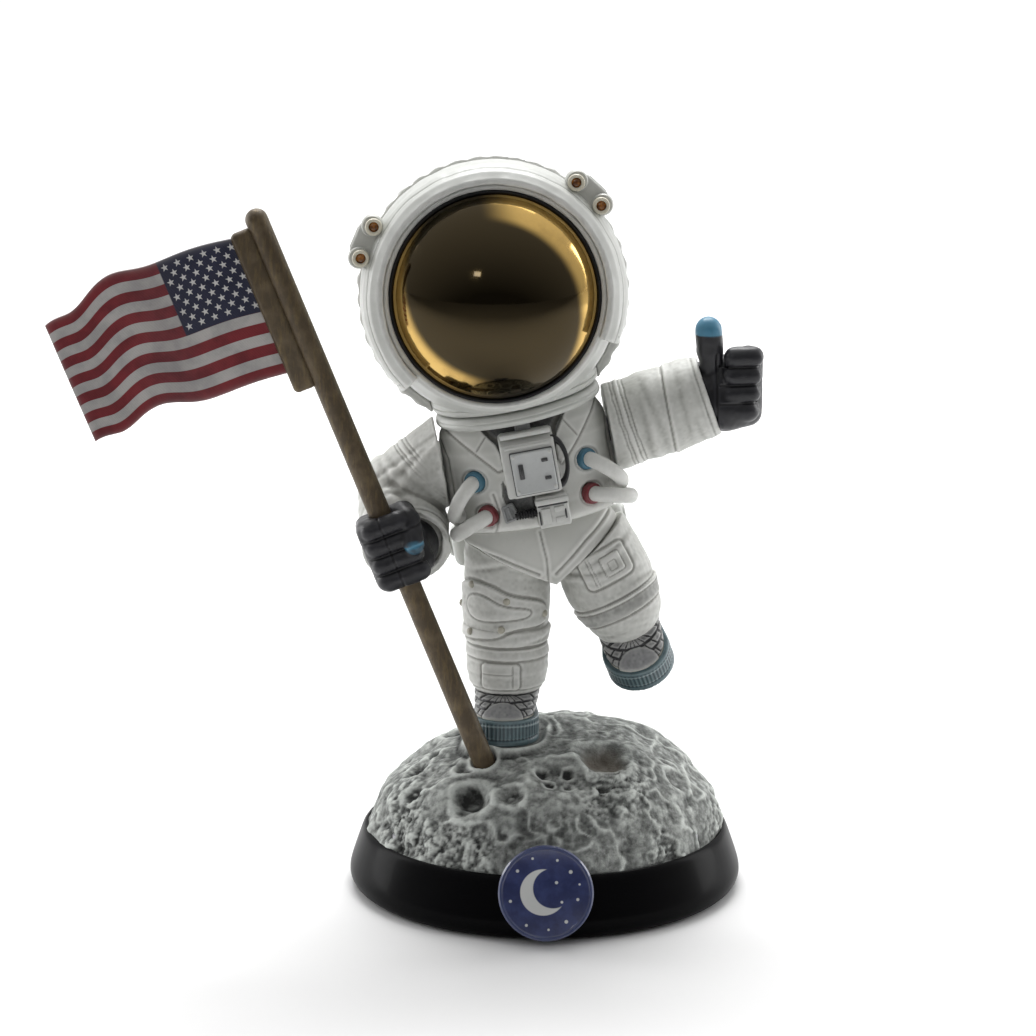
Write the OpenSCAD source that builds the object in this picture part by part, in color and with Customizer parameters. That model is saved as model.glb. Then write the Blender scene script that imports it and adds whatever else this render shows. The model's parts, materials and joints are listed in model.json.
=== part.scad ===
// Astronaut statuette on a moonscape plinth, with a flag that draws out of the fist.
// Millimetres. Origin: centre of the plinth's resting face. +Z is up, and the figure faces -Y.
// "right" and "left" are the figure's own right (-X) and left (+X).

/* [Plinth] */
// Widest radius of the plinth
plinth_r = 46; // [40:0.5:56]
// Radius of the plinth's resting edge
plinth_foot_r = 43.6; // [38:0.2:52]
// Outer radius of the plinth's rim
plinth_rim_r = 42.6; // [38:0.2:52]
// Height of the rim above the table
plinth_h = 14.6; // [12:0.2:18]
// Wall of the plinth
plinth_wall = 2.2; // [1.6:0.1:2.8]
// Depth of the rim's step, in which the moonscape sits
rim_step = 2.6; // [2:0.2:4]
// Thickness of the foam pad under the plinth
pad_t = 0.8; // [0.5:0.1:1.5]
// Radius of the round badge
badge_r = 10.8; // [7:0.1:12]
// Thickness of the badge
badge_t = 2.2; // [1.5:0.1:3.5]

/* [Moonscape] */
// Rise of the moonscape above the rim
moon_rise = 23; // [18:0.5:28]
// Wall of the hollow casting
moon_wall = 3.4; // [2.8:0.1:4.2]

/* [Figure] */
// Height of the standing leg from the boot's top to the hip
leg_len = 32; // [27:0.5:38]
// Radius of the standing leg
leg_r = 10; // [9:0.1:11]
// Height of a boot from its tread to the trouser hem
boot_h = 10.6; // [9:0.1:13]
// Length of a boot
boot_len = 24; // [20:0.5:26]
// Width of a boot
boot_w = 16; // [14:0.2:19]
// Height of a boot's ribbed rubber sole
sole_t = 6; // [4.5:0.1:7]
// Height of the torso from the waist to the neck ring
torso_h = 27.5; // [25:0.5:31]
// Half width of the torso at the chest
torso_w = 20; // [18.5:0.1:22]
// Depth of the torso as a share of its width
torso_flat = 0.74; // [0.68:0.01:0.8]
// Sideways lean of the torso, towards the flag
torso_lean = 10; // [6:1:14]
// Turn of the torso towards the raised arm
torso_yaw = 4; // [0:1:8]
// Radius of a sleeve at the shoulder
sleeve_r = 10.2; // [9:0.1:10.8]
// Length of the raised sleeve
sleeve_len = 24.5; // [21:0.5:29]
// Radius of a sleeve's hem
hem_r = 9.4; // [8.6:0.1:10]
// Upward bend of the raised sleeve from the shoulder's axis
sleeve_bend = 9; // [4:1:14]

/* [Helmet] */
// Radius of the quilted helmet cover
helmet_r = 31.2; // [28:0.2:33]
// Wall of the helmet shells
helmet_wall = 2; // [1.5:0.1:2.6]
// Radius of the visor's opening
visor_r = 24; // [21:0.1:25]
// Radius of the visor's domed surface
visor_dome_r = 26.4; // [25.2:0.1:32]
// Sideways lean of the helmet
head_lean = 12; // [8:1:16]
// Upward tilt of the visor
visor_pitch = 7; // [0:1:12]
// Radius of the neck ring
neck_ring_r = 19.2; // [17:0.1:19.6]

/* [Flag] */
// Radius of the flag pole
pole_r = 2.6; // [2:0.1:3]
// Length of the pole from its foot to its rounded top
pole_len = 149; // [130:1:170]
// Lean of the pole from the vertical
pole_lean = 21.8; // [18:0.2:25]
// Height of the flag along the pole
flag_h = 33; // [28:0.5:37]
// Length of the flag away from the pole
flag_len = 47; // [36:0.5:56]
// Thickness of the moulded flag
flag_t = 1.3; // [1:0.1:2]

/* [Fits] */
// Radial clearance of a turning or sliding fit
run_gap = 0.06; // [0.03:0.01:0.1]
// Radial clearance of a glued or pressed peg
press_gap = 0.02; // [0.01:0.01:0.04]
// Gap between two faces that move past each other
face_gap = 0.3; // [0.25:0.05:0.5]
// Radius of the shoulder and hip pegs
peg_r = 3; // [2.5:0.1:3.5]
// Radius of the wrist pegs
wrist_peg_r = 2.2; // [1.8:0.1:2.6]
// Radius of the neck peg
neck_peg_r = 4; // [3.5:0.1:5]

/* [Hidden] */
$fn = 64;
hull_fn = 24;
eps = 0.01;

// Colours
suit_white = [0.74, 0.74, 0.71];
trim_grey = [0.42, 0.43, 0.43];
rubber_black = [0.09, 0.09, 0.1];

// ---- Plinth and moonscape
plinth_lift = 0.3;                          // the pad stands this far below the plinth's edge
belly_z = 3.8;                              // height of the plinth's widest ring
seat_z = plinth_h - rim_step;               // ledge that carries the moonscape
moon_r = plinth_rim_r - 1.3;                // the rim is a thin lip round the moonscape
ledge_t = 2;
ledge_in_r = moon_r - moon_wall - 1.2;
plate_t = 1.6;
plate_r = plinth_foot_r - plinth_wall - 0.8;
moon_screw_r = 1.1;
screw_head_r = 2;
screw_head_t = 1.4;
moon_screw_ring = moon_r - moon_wall / 2 - 0.1;
moon_h = moon_rise + rim_step;              // height of the casting above its seat
sole_z = seat_z + moon_h - 0.6;             // the tread stands in a flat that is 0.6 deep

// Height of the moonscape's skin above its seat at radius r
function moon_skin(r, big, high) = high * pow(max(0, 1 - pow(r / big, 2.3)), 0.5);
function moon_profile(big, high) =
    concat([for (i = [0 : 20]) let (r = big * sin(i * 4.5)) [r, moon_skin(r, big, high)]], [[0, 0]]);

// ---- Standing leg, in the row frame
leg_x = -8.8;
leg_y = 0;
hem_z = sole_z + boot_h;                    // trouser hem
hip_z = hem_z + leg_len;                    // centre of the standing hip's joint face
hip_slope = 24;                             // slope of the standing hip's joint face
boot_toe_turn = 5;                          // the boot points slightly out
foot_peg_r = 1.5;

// ---- Hips
pelvis_c = [-1.4, 0, hip_z + 3.6];
waist = [-1.8, 0, hip_z + 9.6];
hip_left = [10.4, -0.5, hip_z + 2.6];       // centre of the raised hip's joint face
hip_left_turn = 135;                        // the joint's axis, turned from +Z about +Y

// ---- Raised leg, in the frame of its thigh: the hip at the origin and +Z down the thigh
thigh_turn = 152.5;                           // direction of the thigh, turned from +Z about +Y
thigh_len = 15.6;
thigh_r = 11;
shin_len = 4.2;
shin_pitch = 34;                            // backward kick of the shin
foot_roll = 18;                             // sideways roll of the raised foot

// ---- Torso frame: origin at the waist, +Z up the spine
shoulder_z = torso_h - 10.7;
shoulder_x = torso_w - 0.4;                 // plane of the shoulder joints
peg_in = 8;                                 // how deep each peg sits in each piece
hip_peg_in = 5.5;                           // the raised hip's peg, in the pelvis
waist_spigot = 2;                           // depth of the torso's spigot in the pelvis

// ---- Head frame: origin at the neck, +Z up through the helmet
helmet_up = 25.6;                           // height of the helmet's centre above the neck
collar_floor_z = 1.2;
collar_floor_t = 3;
neck_cap_r = neck_peg_r + 1.4;
opening = 18.2;                             // plane of the visor's opening, from the helmet's centre
hood_half_angle = 124;                      // the hood wraps this far each way from the crown
lamp_angles = [48, 62];
lamp_ring_r = helmet_r + 1;
lamp_depth = 16;

// ---- Pole frame: origin where the pole passes the fist, +Z up the pole
fist_in_torso = [-34, -14.8, 1.4];        // the fist's centre in the torso frame
fist = waist_point(fist_in_torso);
pole_up = 84.6;                               // pole above the fist's centre
pole_down = pole_len - pole_up;
socket_depth = 9;                           // the pole's foot stands this deep in the moonscape
batten_len = flag_h + 6;
batten_top = pole_up - 3.6;
batten_w = 5.4;
batten_t = 3.6;

// ---- Right arm, in the torso frame
elbow_right = [-30.4, 7, 5.4];
wrist_right = [-31.3, -6.6, -0.6];
cuff_right_r = hem_r + 0.8;

// A point of the torso frame, in the row frame
function waist_point(p) = let (
        y = [p[0] * cos(torso_yaw) - p[1] * sin(torso_yaw),
             p[0] * sin(torso_yaw) + p[1] * cos(torso_yaw), p[2]])
    waist + [y[0] * cos(torso_lean) - y[2] * sin(torso_lean), y[1],
             y[0] * sin(torso_lean) + y[2] * cos(torso_lean)];
neck = waist_point([0, 0, torso_h]);

// The places and axes of the joints, for the part's record
echo(neck = neck, neck_axis = [-sin(head_lean), 0, cos(head_lean)]);
echo(shoulder = waist_point([shoulder_x, 0, shoulder_z]),
    shoulder_axis = waist_point([1, 0, 0]) - waist);
echo(hip = hip_left, hip_axis = [sin(hip_left_turn), 0, cos(hip_left_turn)]);
echo(fist = fist, pole_axis = [-sin(pole_lean), 0, cos(pole_lean)]);

// ---- Frames
module at_waist() {
    translate(waist) rotate([0, -torso_lean, 0]) rotate([0, 0, torso_yaw]) children();
}
module at_neck() {
    translate(neck) rotate([0, -head_lean, 0]) children();
}
// Origin at the helmet's centre, +Z out through the visor, +Y up, +X to the figure's left
module at_visor() {
    at_neck() translate([0, 0, helmet_up]) rotate([0, 0, 3]) rotate([90 - visor_pitch, 0, 0])
        children();
}
// Origin at the raised shoulder, +Z along the shoulder peg
module at_shoulder_left() {
    at_waist() translate([shoulder_x, 0, shoulder_z]) rotate([0, 90, 0]) children();
}
// Origin at the raised shoulder, +Z along the sleeve
module at_sleeve_left() {
    at_waist() translate([shoulder_x, 0, shoulder_z]) rotate([0, 90 - sleeve_bend, 0])
        rotate([4, 0, 0]) children();
}
// Origin at the standing boot's tread, toe towards -Y
module at_boot_right() {
    translate([leg_x, leg_y, sole_z]) rotate([0, 0, -boot_toe_turn]) children();
}
// Origin at the raised hip, +Z into the thigh along the joint's axis
module at_hip_left() {
    translate(hip_left) rotate([0, hip_left_turn, 0]) children();
}
knee_left = hip_left + [sin(thigh_turn) * thigh_len, -2.5, cos(thigh_turn) * thigh_len];
// Origin at the raised knee, +Z up the shin, toe towards -Y
module at_shin_left() {
    translate(knee_left) rotate([0, -foot_roll, 0]) rotate([shin_pitch, 0, 0]) children();
}
module at_boot_left() {
    at_shin_left() translate([0, 0, -shin_len - boot_h]) children();
}
module at_pole() {
    translate(fist) rotate([0, -pole_lean, 0]) children();
}

// ---- Shapes that repeat
// A round bar with round ends, from a to b
module bar(a, b, r) {
    d = b - a;
    len = norm(d);
    translate(a) rotate([0, acos(d[2] / len), atan2(d[1], d[0])]) rotate_extrude($fn = 40) polygon(
        concat([for (i = [0 : 4]) [r * sin(i * 22.5), -r * cos(i * 22.5)]],
            [for (i = [0 : 4]) [r * cos(i * 22.5), len + r * sin(i * 22.5)]]));
}
// Everything below the plane through p that slopes down towards +X by slope degrees
module half_space(p, slope, size = 80) {
    translate(p) rotate([0, slope, 0]) translate([-size / 2, -size / 2, -size]) cube(size);
}
// A box with rounded upright edges
module soft_box(size, r) {
    linear_extrude(size[2]) offset(r, $fn = 20)
        square([size[0] - 2 * r, size[1] - 2 * r], center = true);
}
module ring(r, thickness) {
    rotate_extrude() translate([r, 0]) circle(thickness, $fn = 24);
}
module at_moon_screws() {
    for (i = [0 : 2]) rotate(i * 120 + 90) translate([moon_screw_ring, 0, 0]) children();
}

// ---- Plinth
module base_pad() {
    color([0.12, 0.12, 0.12]) cylinder(r = plate_r - 0.4, h = pad_t);
}
module base_plate() {
    color([0.1, 0.1, 0.1]) translate([0, 0, pad_t]) cylinder(r = plate_r, h = plate_t);
}
module plinth() {
    inner = plinth_foot_r - plinth_wall;
    color([0.04, 0.04, 0.045]) difference() {
        union() {
            rotate_extrude($fn = 96) polygon([
                [inner - 0.6, plinth_lift], [plinth_foot_r, plinth_lift],
                [plinth_r - 0.9, plinth_lift + 1], [plinth_r - 0.2, plinth_lift + 2.2],
                [plinth_r, belly_z], [plinth_r - 0.3, belly_z + 2],
                [plinth_rim_r + 0.5, plinth_h - 1.2], [plinth_rim_r, plinth_h - 0.4],
                [plinth_rim_r - 0.4, plinth_h], [moon_r + 0.3, plinth_h], [moon_r + 0.3, seat_z],
                [ledge_in_r, seat_z], [ledge_in_r, seat_z - ledge_t],
                [moon_r - 1.2, seat_z - ledge_t], [inner, belly_z + 2], [inner - 0.6, belly_z]]);
            badge_boss();
        }
        at_moon_screws() translate([0, 0, seat_z - ledge_t]) {
            translate([0, 0, -1]) cylinder(r = moon_screw_r + 0.2, h = ledge_t + 2);
            // spot face for the screw's head
            translate([0, 0, -3]) cylinder(r = screw_head_r + 0.2, h = 3);
        }
        at_badge() translate([0, 0, -4]) cylinder(r = 1.5 + press_gap, h = 5);
    }
}
module plinth_screws() {
    color([0.6, 0.6, 0.62]) at_moon_screws() {
        translate([0, 0, seat_z - ledge_t - screw_head_t])
            cylinder(r = screw_head_r, h = screw_head_t - eps);
        translate([0, 0, seat_z - ledge_t - 0.5]) cylinder(r = moon_screw_r, h = ledge_t + 6);
    }
}

// ---- Badge: origin at the centre of its back, +Z outwards
badge_tilt = atan2(plinth_r - plinth_rim_r, plinth_h - belly_z);
module at_badge() {
    translate([0, -plinth_r + 0.1, belly_z + badge_r * 0.76]) rotate([90 - badge_tilt, 0, 0])
        children();
}
module badge_boss() {
    intersection() {
        at_badge() translate([0, 0, -6]) cylinder(r = badge_r * 0.62, h = 6);
        translate([0, 0, plinth_lift]) difference() {
            cylinder(r = plinth_r + 5, h = plinth_h - plinth_lift - 0.6);
            translate([0, 0, -1]) cylinder(r = plinth_rim_r - 1, h = plinth_h + 2);
        }
    }
}
module badge() {
    color([0.1, 0.13, 0.27]) at_badge() {
        cylinder(r = badge_r, h = badge_t - 0.5);
        translate([0, 0, badge_t - 0.5]) difference() {
            cylinder(r1 = badge_r, r2 = badge_r - 0.4, h = 0.5);
            translate([0, 0, 0.1]) cylinder(r = badge_r - 1.1, h = 1);
        }
        translate([0, 0, -3]) cylinder(r = 1.5, h = 3 + eps);
        // crescent moon
        translate([0, 0, badge_t - 0.6]) linear_extrude(0.7) difference() {
            circle(badge_r * 0.55);
            translate([badge_r * 0.24, badge_r * 0.1]) circle(badge_r * 0.46);
        }
    }
}

// ---- Moonscape
// Craters as [angle round the plinth, radius from its axis, crater radius]
craters = [[-52, 19, 5.6], [-117, 30, 4.6], [-98, 28, 2.6], [-84, 25, 4], [-20, 33, 3.6],
    [-60, 35, 2.4], [35, 27, 5], [80, 24, 6], [120, 32, 4], [160, 22, 4.6], [195, 31, 3.4],
    [62, 36, 2.6], [140, 14, 3], [-150, 35, 2.6]];
module moon_surface() {
    boss_r = pole_r + 3.2;
    color([0.66, 0.68, 0.66]) difference() {
        union() {
            translate([0, 0, seat_z]) difference() {
                rotate_extrude($fn = 96) polygon(moon_profile(moon_r, moon_h));
                translate([0, 0, -eps]) rotate_extrude()
                    polygon(moon_profile(moon_r - moon_wall, moon_h - moon_wall));
            }
            // rise under the boot
            at_boot_right() translate([0, 0, -5]) linear_extrude(5) offset(1.6, $fn = 32) boot_outline();
            // bosses for the flag pole and the boot's screw, inside the casting
            intersection() {
                translate([0, 0, seat_z]) rotate_extrude()
                    polygon(moon_profile(moon_r - 1, moon_h - 1));
                union() {
                    at_pole() translate([0, 0, -pole_down - 2.5]) cylinder(r = boss_r, h = 14);
                    translate([leg_x, leg_y, sole_z - 13]) cylinder(r = 4.5, h = 12);
                }
            }
        }
        for (c = craters) let (z = seat_z + moon_skin(c[1], moon_r, moon_h))
            rotate(c[0]) translate([c[1], 0, z + c[2] * 0.75]) sphere(c[2] * 1.25);
        // flat for the standing boot
        at_boot_right() linear_extrude(8) offset(0.4, $fn = 32) boot_outline();
        at_pole() translate([0, 0, -pole_down]) cylinder(r = pole_r + run_gap, h = 24);
        translate([leg_x, leg_y, sole_z - 15]) cylinder(r = foot_peg_r + press_gap, h = 20);
        at_moon_screws() translate([0, 0, seat_z - 1]) cylinder(r = moon_screw_r + press_gap, h = 8);
    }
}
module foot_screw() {
    color([0.6, 0.6, 0.62]) translate([leg_x, leg_y, 0]) {
        translate([0, 0, sole_z - 13 - 1.6]) cylinder(r = 3, h = 1.6 - eps);
        translate([0, 0, sole_z - 14]) cylinder(r = foot_peg_r, h = 14 + boot_h * 0.8);
    }
}

// ---- Boots, in their own frame: tread at z = 0, toe towards -Y, ankle over the origin
module boot_outline() {
    toe = boot_len * 0.62 - boot_w / 2;
    heel = boot_len * 0.38 - boot_w * 0.4;
    hull() {
        translate([0, -toe]) circle(boot_w / 2);
        translate([0, heel]) circle(boot_w * 0.4);
    }
}
module boot_sole() {
    difference() {
        linear_extrude(sole_t) boot_outline();
        translate([0, 0, -1]) cylinder(r = foot_peg_r + press_gap, h = sole_t + 2);
        // shelf on which the upper sits
        translate([0, 0, sole_t - 1]) linear_extrude(2) offset(-1.2) boot_outline();
    }
}
module boot_upper() {
    toe = boot_len * 0.62 - boot_w / 2;
    toe_r = boot_w / 2 - 2.2;
    difference() {
        union() {
            difference() {
                hull() {
                    translate([0, 0, sole_t]) linear_extrude(0.2) offset(-1.25) boot_outline();
                    translate([0, -toe, boot_h - 0.8 - toe_r]) sphere(toe_r, $fn = hull_fn);
                    translate([0, 0, boot_h - 0.6]) cylinder(r = leg_r - 2.6,
                        h = 0.6 - face_gap / 3, $fn = 32);
                }
                // all that would reach into the sole
                translate([-40, -40, sole_t - 80]) cube(80);
            }
            // the part that sits on the sole's shelf
            translate([0, 0, sole_t - 1 + press_gap]) linear_extrude(1.1) offset(-1.25)
                boot_outline();
        }
        translate([0, 0, -1]) cylinder(r = foot_peg_r + press_gap, h = boot_h * 0.8 + 1 + 0.3);
    }
    // spigot that is glued into the trouser leg
    translate([0, 0, boot_h - 0.7]) cylinder(r = leg_r - 4.4, h = 4.4);
}
module boot_right_sole() { color([0.16, 0.25, 0.29]) at_boot_right() boot_sole(); }
module boot_right_upper() { color([0.3, 0.3, 0.32]) at_boot_right() boot_upper(); }
module boot_left_sole() {
    color([0.16, 0.25, 0.29]) at_boot_left() boot_sole();
}
module boot_left_upper() {
    color([0.3, 0.3, 0.32]) at_boot_left() boot_upper();
}

// ---- Standing leg
module leg_right() {
    band_z = 13.5;                          // height of the knee band above the hem
    color(suit_white) difference() {
        intersection() {
            translate([leg_x, leg_y, hem_z]) rotate_extrude() polygon([[0, 0], [leg_r - 2, 0],
                [leg_r - 0.9, 1.4], [leg_r - 0.3, 5], [leg_r - 0.6, 9], [leg_r - 1, band_z - 2],
                [leg_r - 0.1, band_z - 1.6], [leg_r, band_z + 1.4], [leg_r - 0.5, band_z + 2],
                [leg_r, band_z + 6], [leg_r, leg_len], [leg_r - 1, leg_len + 8], [0, leg_len + 8]]);
            half_space([leg_x, 0, hip_z - face_gap / 2], hip_slope);
        }
        translate([leg_x, leg_y, hem_z - 1]) cylinder(r = leg_r - 4.4 + press_gap, h = 5);
        at_hip_right() translate([0, 0, -peg_in - 0.3]) cylinder(r = peg_r + press_gap, h = 20);
    }
}
// Origin at the standing hip, +Z up across the joint
module at_hip_right() {
    translate([leg_x, leg_y, hip_z]) rotate([0, hip_slope, 0]) children();
}
module hip_peg_right() {
    color(trim_grey) at_hip_right() translate([0, 0, -peg_in]) cylinder(r = peg_r, h = 2 * peg_in - 2);
}
plate_t_knee = 0.9;
// The knee plate wraps the front of the standing leg
module knee_plate() {
    color(suit_white) intersection() {
        translate([leg_x, leg_y, hem_z + 17.4]) difference() {
            cylinder(r = leg_r + plate_t_knee, h = 11.5);
            translate([0, 0, -1]) cylinder(r = leg_r + 0.02, h = 14);
        }
        translate([leg_x, leg_y, hem_z + 23]) rotate([90, 0, 0]) linear_extrude(30)
            offset(2) offset(-2) polygon([[-12, 5.5], [-6, 4.6], [2, 1.4], [12, 0.2],
                [12, -2.6], [4, -3.6], [-2, -5.4], [-12, -5.2]]);
    }
}
// Rivets as [angle round the leg, height above the hem]
rivets = [[-134, 26.2], [-98, 23.2], [-50, 20.9], [-176, 22.6], [-140, 18.6], [-104, 18.9],
    [-10, 21.4]];
module knee_rivets() {
    color([0.5, 0.5, 0.47]) for (r = rivets)
        translate([leg_x, leg_y, hem_z + r[1]]) rotate([0, 90, r[0]])
            translate([0, 0, leg_r + plate_t_knee + 0.05]) cylinder(r1 = 0.75, r2 = 0.5, h = 0.5);
}

// ---- Pelvis
module pelvis() {
    color(suit_white) difference() {
        translate(pelvis_c) scale([1, 0.68, 0.72]) sphere(19.6);
        half_space([leg_x, 0, hip_z + face_gap / 2], hip_slope);
        at_hip_left() translate([-30, -30, -face_gap / 2]) cube([60, 60, 40]);
        // flat top under the torso
        at_waist() translate([-40, -40, -face_gap / 3]) cube([80, 80, 40]);
        at_hip_right() translate([0, 0, -8]) cylinder(r = peg_r + press_gap, h = 2 * peg_in - 2 + 0.3);
        at_hip_left() translate([0, 0, -hip_peg_in - 0.3]) cylinder(r = peg_r + press_gap, h = 20);
        at_waist() translate([0, 0, -waist_spigot - 0.3]) cylinder(r = 6 + press_gap, h = 8);
        at_waist() translate([-30, pack_y - press_gap, -20]) cube([60, 20, 40]);
    }
}

// ---- Torso
module torso() {
    color(suit_white) difference() {
        at_waist() intersection() {
            scale([1, torso_flat, 1]) rotate_extrude($fn = 96) polygon([[0, 0],
                [torso_w - 1.4, 0], [torso_w - 0.5, 0.8], [torso_w - 0.4, 2.6],
                [torso_w - 0.2, 8], [torso_w, shoulder_z - 6], [torso_w, shoulder_z + 2],
                [torso_w - 1, shoulder_z + 6], [neck_ring_r - 1.4, torso_h - 2.4],
                [neck_ring_r - 2.4, torso_h - 1.4], [0, torso_h - 1.4]]);
            translate([-shoulder_x + face_gap / 2, -40, -5])
                cube([2 * shoulder_x - face_gap, 80, 60]);
        }
        at_neck() translate([0, 0, -12]) cylinder(r = neck_peg_r + press_gap, h = 20);
        for (side = [-1, 1]) at_waist() translate([side * (shoulder_x - peg_in - 0.3), 0, shoulder_z])
            rotate([0, side * 90, 0]) cylinder(r = peg_r + press_gap, h = 20);
        at_neck() translate([0, 0, -2.32]) cylinder(r = 40, h = 20);
        torso_flats();
        for (s = concat(blue_spots, red_spots)) at_collar(s) translate([0, 0, -0.9])
            cylinder(r = collar_r + press_gap, h = 4);
    }
    // spigot that locates the torso in the pelvis
    color(suit_white) at_waist() translate([0, 0, -waist_spigot])
        cylinder(r = 6, h = waist_spigot + 3);
}
chest_y = -torso_w * torso_flat;            // front of the chest at its middle
back_y = torso_w * torso_flat;
// Flats on the chest and back, on which the boxes are glued
module torso_flats() {
    at_waist() {
        translate([box_x - box_w / 2 - 0.1, chest_y - 5, box_z - 0.1])
            cube([box_w + 0.2, 5 + box_y - chest_y + press_gap, 20]);
        translate([camera_x - 4, chest_y - 5, camera_z - 3.8]) cube([8, 5.6 + press_gap, 8]);
        translate([-17, back_y - 1.6 - press_gap, -5]) cube([34, 10, 40]);
    }
}
module neck_ring() {
    color(suit_white) at_neck() difference() {
        rotate_extrude($fn = 96) polygon([[neck_peg_r + 3, -2.3], [neck_ring_r - 0.9, -2.3],
            [neck_ring_r, -1.6], [neck_ring_r, 0], [neck_ring_r - 0.8, 0.8],
            [neck_ring_r - 1.6, 0.9], [neck_peg_r + 3, 0.9]]);
    }
}
module neck_peg() {
    top = collar_floor_z + collar_floor_t;
    color(trim_grey) at_neck() {
        translate([0, 0, -11.8]) cylinder(r = neck_peg_r, h = top + 11.8 + face_gap + eps);
        translate([0, 0, top + face_gap]) cylinder(r = neck_cap_r, h = 1.6);
    }
}
module chest_bib() {
    color([0.2, 0.2, 0.21]) difference() {
        bib_sheet();
        torso_flats();
    }
}
module bib_sheet() {
    at_waist() intersection() {
        translate([0, 0, 12]) difference() {
            scale([1, torso_flat, 1]) cylinder(r = torso_w + 0.5, h = torso_h - 15);
            translate([0, 0, -1]) scale([1, torso_flat, 1]) cylinder(r = torso_w + 0.02, h = 30);
        }
        rotate([90, 0, 0]) linear_extrude(40)
            polygon([[-11, torso_h - 3.2], [-7, 16.5], [7, 16.5], [12, torso_h - 3.2]]);
        translate([-20, -40, 0]) cube([40, 39.2 - 0.6, 60]);
    }
}
// A yoke strap from the neck ring down to the chest box
module harness(side) {
    color(suit_white) difference() {
        at_waist() intersection() {
            translate([0, 0, 6]) difference() {
                scale([1, torso_flat, 1]) cylinder(r = torso_w + 1.1, h = torso_h - 9.5);
                translate([0, 0, -1]) scale([1, torso_flat, 1])
                    cylinder(r = torso_w + 0.54, h = 30);
            }
            rotate([90, 0, 0]) linear_extrude(40) polygon([for (p = [[7.4, 12], [7.4, 18.5],
                [11.8, torso_h - 3], [17.6, torso_h - 3.2], [15, 19], [8.4, 9.5]])
                [side * p[0], p[1]]]);
        }
        for (s = blue_spots) at_collar(s) translate([0, 0, -3]) cylinder(r = collar_r + 0.1, h = 8);
    }
}
module harness_right() { harness(-1); }
module harness_left() { harness(1); }
module neck_loop() {
    color(trim_grey) at_waist() translate([-0.4, chest_y - 0.55, box_z + box_h + 0.9])
        rotate([90, 0, 0]) linear_extrude(0.8) difference() {
            square([3.4, 1.7], center = true);
            square([2, 0.7], center = true);
        }
}

// ---- Chest box and what hangs round it, in the torso frame
box_w = 12.4;
box_h = 14.6;
box_y = chest_y + 0.8;                      // back of the box, on the chest's flat
box_d = 5.6;
box_z = 8.6;                                // its lower edge
box_x = -0.2;
camera_x = 3.2;
camera_z = 4;
module at_box() {
    at_waist() translate([box_x, box_y, box_z]) rotate([90, 0, 0]) children();
}
module chest_box() {
    color([0.8, 0.8, 0.79]) at_box() difference() {
        translate([0, box_h / 2, 0]) hull() {
            soft_box([box_w, box_h, box_d - 2.6], 0.8);
            translate([0, -0.4, 0]) soft_box([box_w - 1.2, box_h - 2.4, box_d], 0.8);
        }
        translate([0.6, box_h * 0.42, box_d - 0.5]) soft_box([box_w * 0.74, box_h * 0.66, 3], 0.4);
    }
}
module chest_box_panel() {
    color([0.66, 0.67, 0.67]) at_box() translate([0.6, box_h * 0.42, box_d - 0.5])
        soft_box([box_w * 0.74 - 0.1, box_h * 0.66 - 0.1, 1.1], 0.4);
}
module chest_box_switches() {
    z = box_d + 0.6;
    color([0.33, 0.33, 0.33]) at_box() {
        translate([-2.1, box_h * 0.44, z]) soft_box([1.1, 3.4, 0.5], 0.4);
        translate([3.2, box_h * 0.58, z]) soft_box([1.6, 1.1, 0.5], 0.3);
        translate([3.3, box_h * 0.3, z]) soft_box([1.6, 0.9, 0.5], 0.3);
    }
}
module camera_box() {
    color([0.8, 0.8, 0.79]) at_waist() translate([camera_x, chest_y + 0.6, camera_z])
        rotate([90, 0, 0]) {
        soft_box([7.4, 7.4, 3.6], 0.7);
        translate([0, 2.4, 0]) soft_box([7.8, 1.2, 4.2], 0.4);
    }
}
module box_hose() {
    color(rubber_black) at_waist() translate([box_x + box_w / 2 - 0.41, chest_y - 2, box_z + 6.6])
        rotate([90, 0, 0]) scale([0.62, 1, 1]) intersection() {
            ring(5.4, 0.95);
            translate([0.7, -10, -5]) cube([10, 20, 10]);
        }
}
module tether_buckle() {
    color([0.5, 0.5, 0.5]) at_waist() translate([-7.6, chest_skin(-7.6) - 0.05, 5.2]) rotate([90, 0, -17])
        linear_extrude(1.3) difference() {
            offset(0.8) square([2, 2.4], center = true);
            offset(0.3) square([1.3, 1.6], center = true);
        }
}
module tether_spring() {
    color(rubber_black) at_waist() translate([-5.6, chest_y - 1.1, 3.9]) rotate([0, 90, 0]) {
        cylinder(r = 0.66, h = 4.85);
        for (i = [1 : 7]) translate([0, 0, i * 0.6]) ring(0.8, 0.24);
    }
}

// ---- Chest hoses: each leaves a coloured collar and runs round the side
// Collars as [x, z] in the torso frame, blue above red
blue_spots = [[-13.2, 12.6], [13, 13.2]];
red_spots = [[-11.6, 4.4], [12.8, 5]];
hose_r = 1.75;
collar_r = hose_r + 0.75;
// Depth of the chest's skin at x
function chest_skin(x) = -torso_flat * sqrt(max(0, torso_w * torso_w - x * x));
// Origin on the chest's skin, +Z straight out of it
module at_collar(spot) {
    at_waist() translate([spot[0], chest_skin(spot[0]), spot[1]]) rotate([90, 0, spot[0] * 2.5])
        children();
}
module collar(grow = 0) {
    translate([0, 0, -0.9 + press_gap]) difference() {
        translate([0, 0, -grow]) cylinder(r = collar_r + grow, h = 1.9 + 2 * grow);
        translate([0, 0, 0.9]) cylinder(r = hose_r + press_gap - grow, h = 2);
    }
}
module collars(spots) {
    for (s = spots) at_collar(s) collar();
}
module hose_collars_blue() { color([0.25, 0.44, 0.52]) collars(blue_spots); }
module hose_collars_red() { color([0.42, 0.1, 0.12]) collars(red_spots); }
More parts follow.
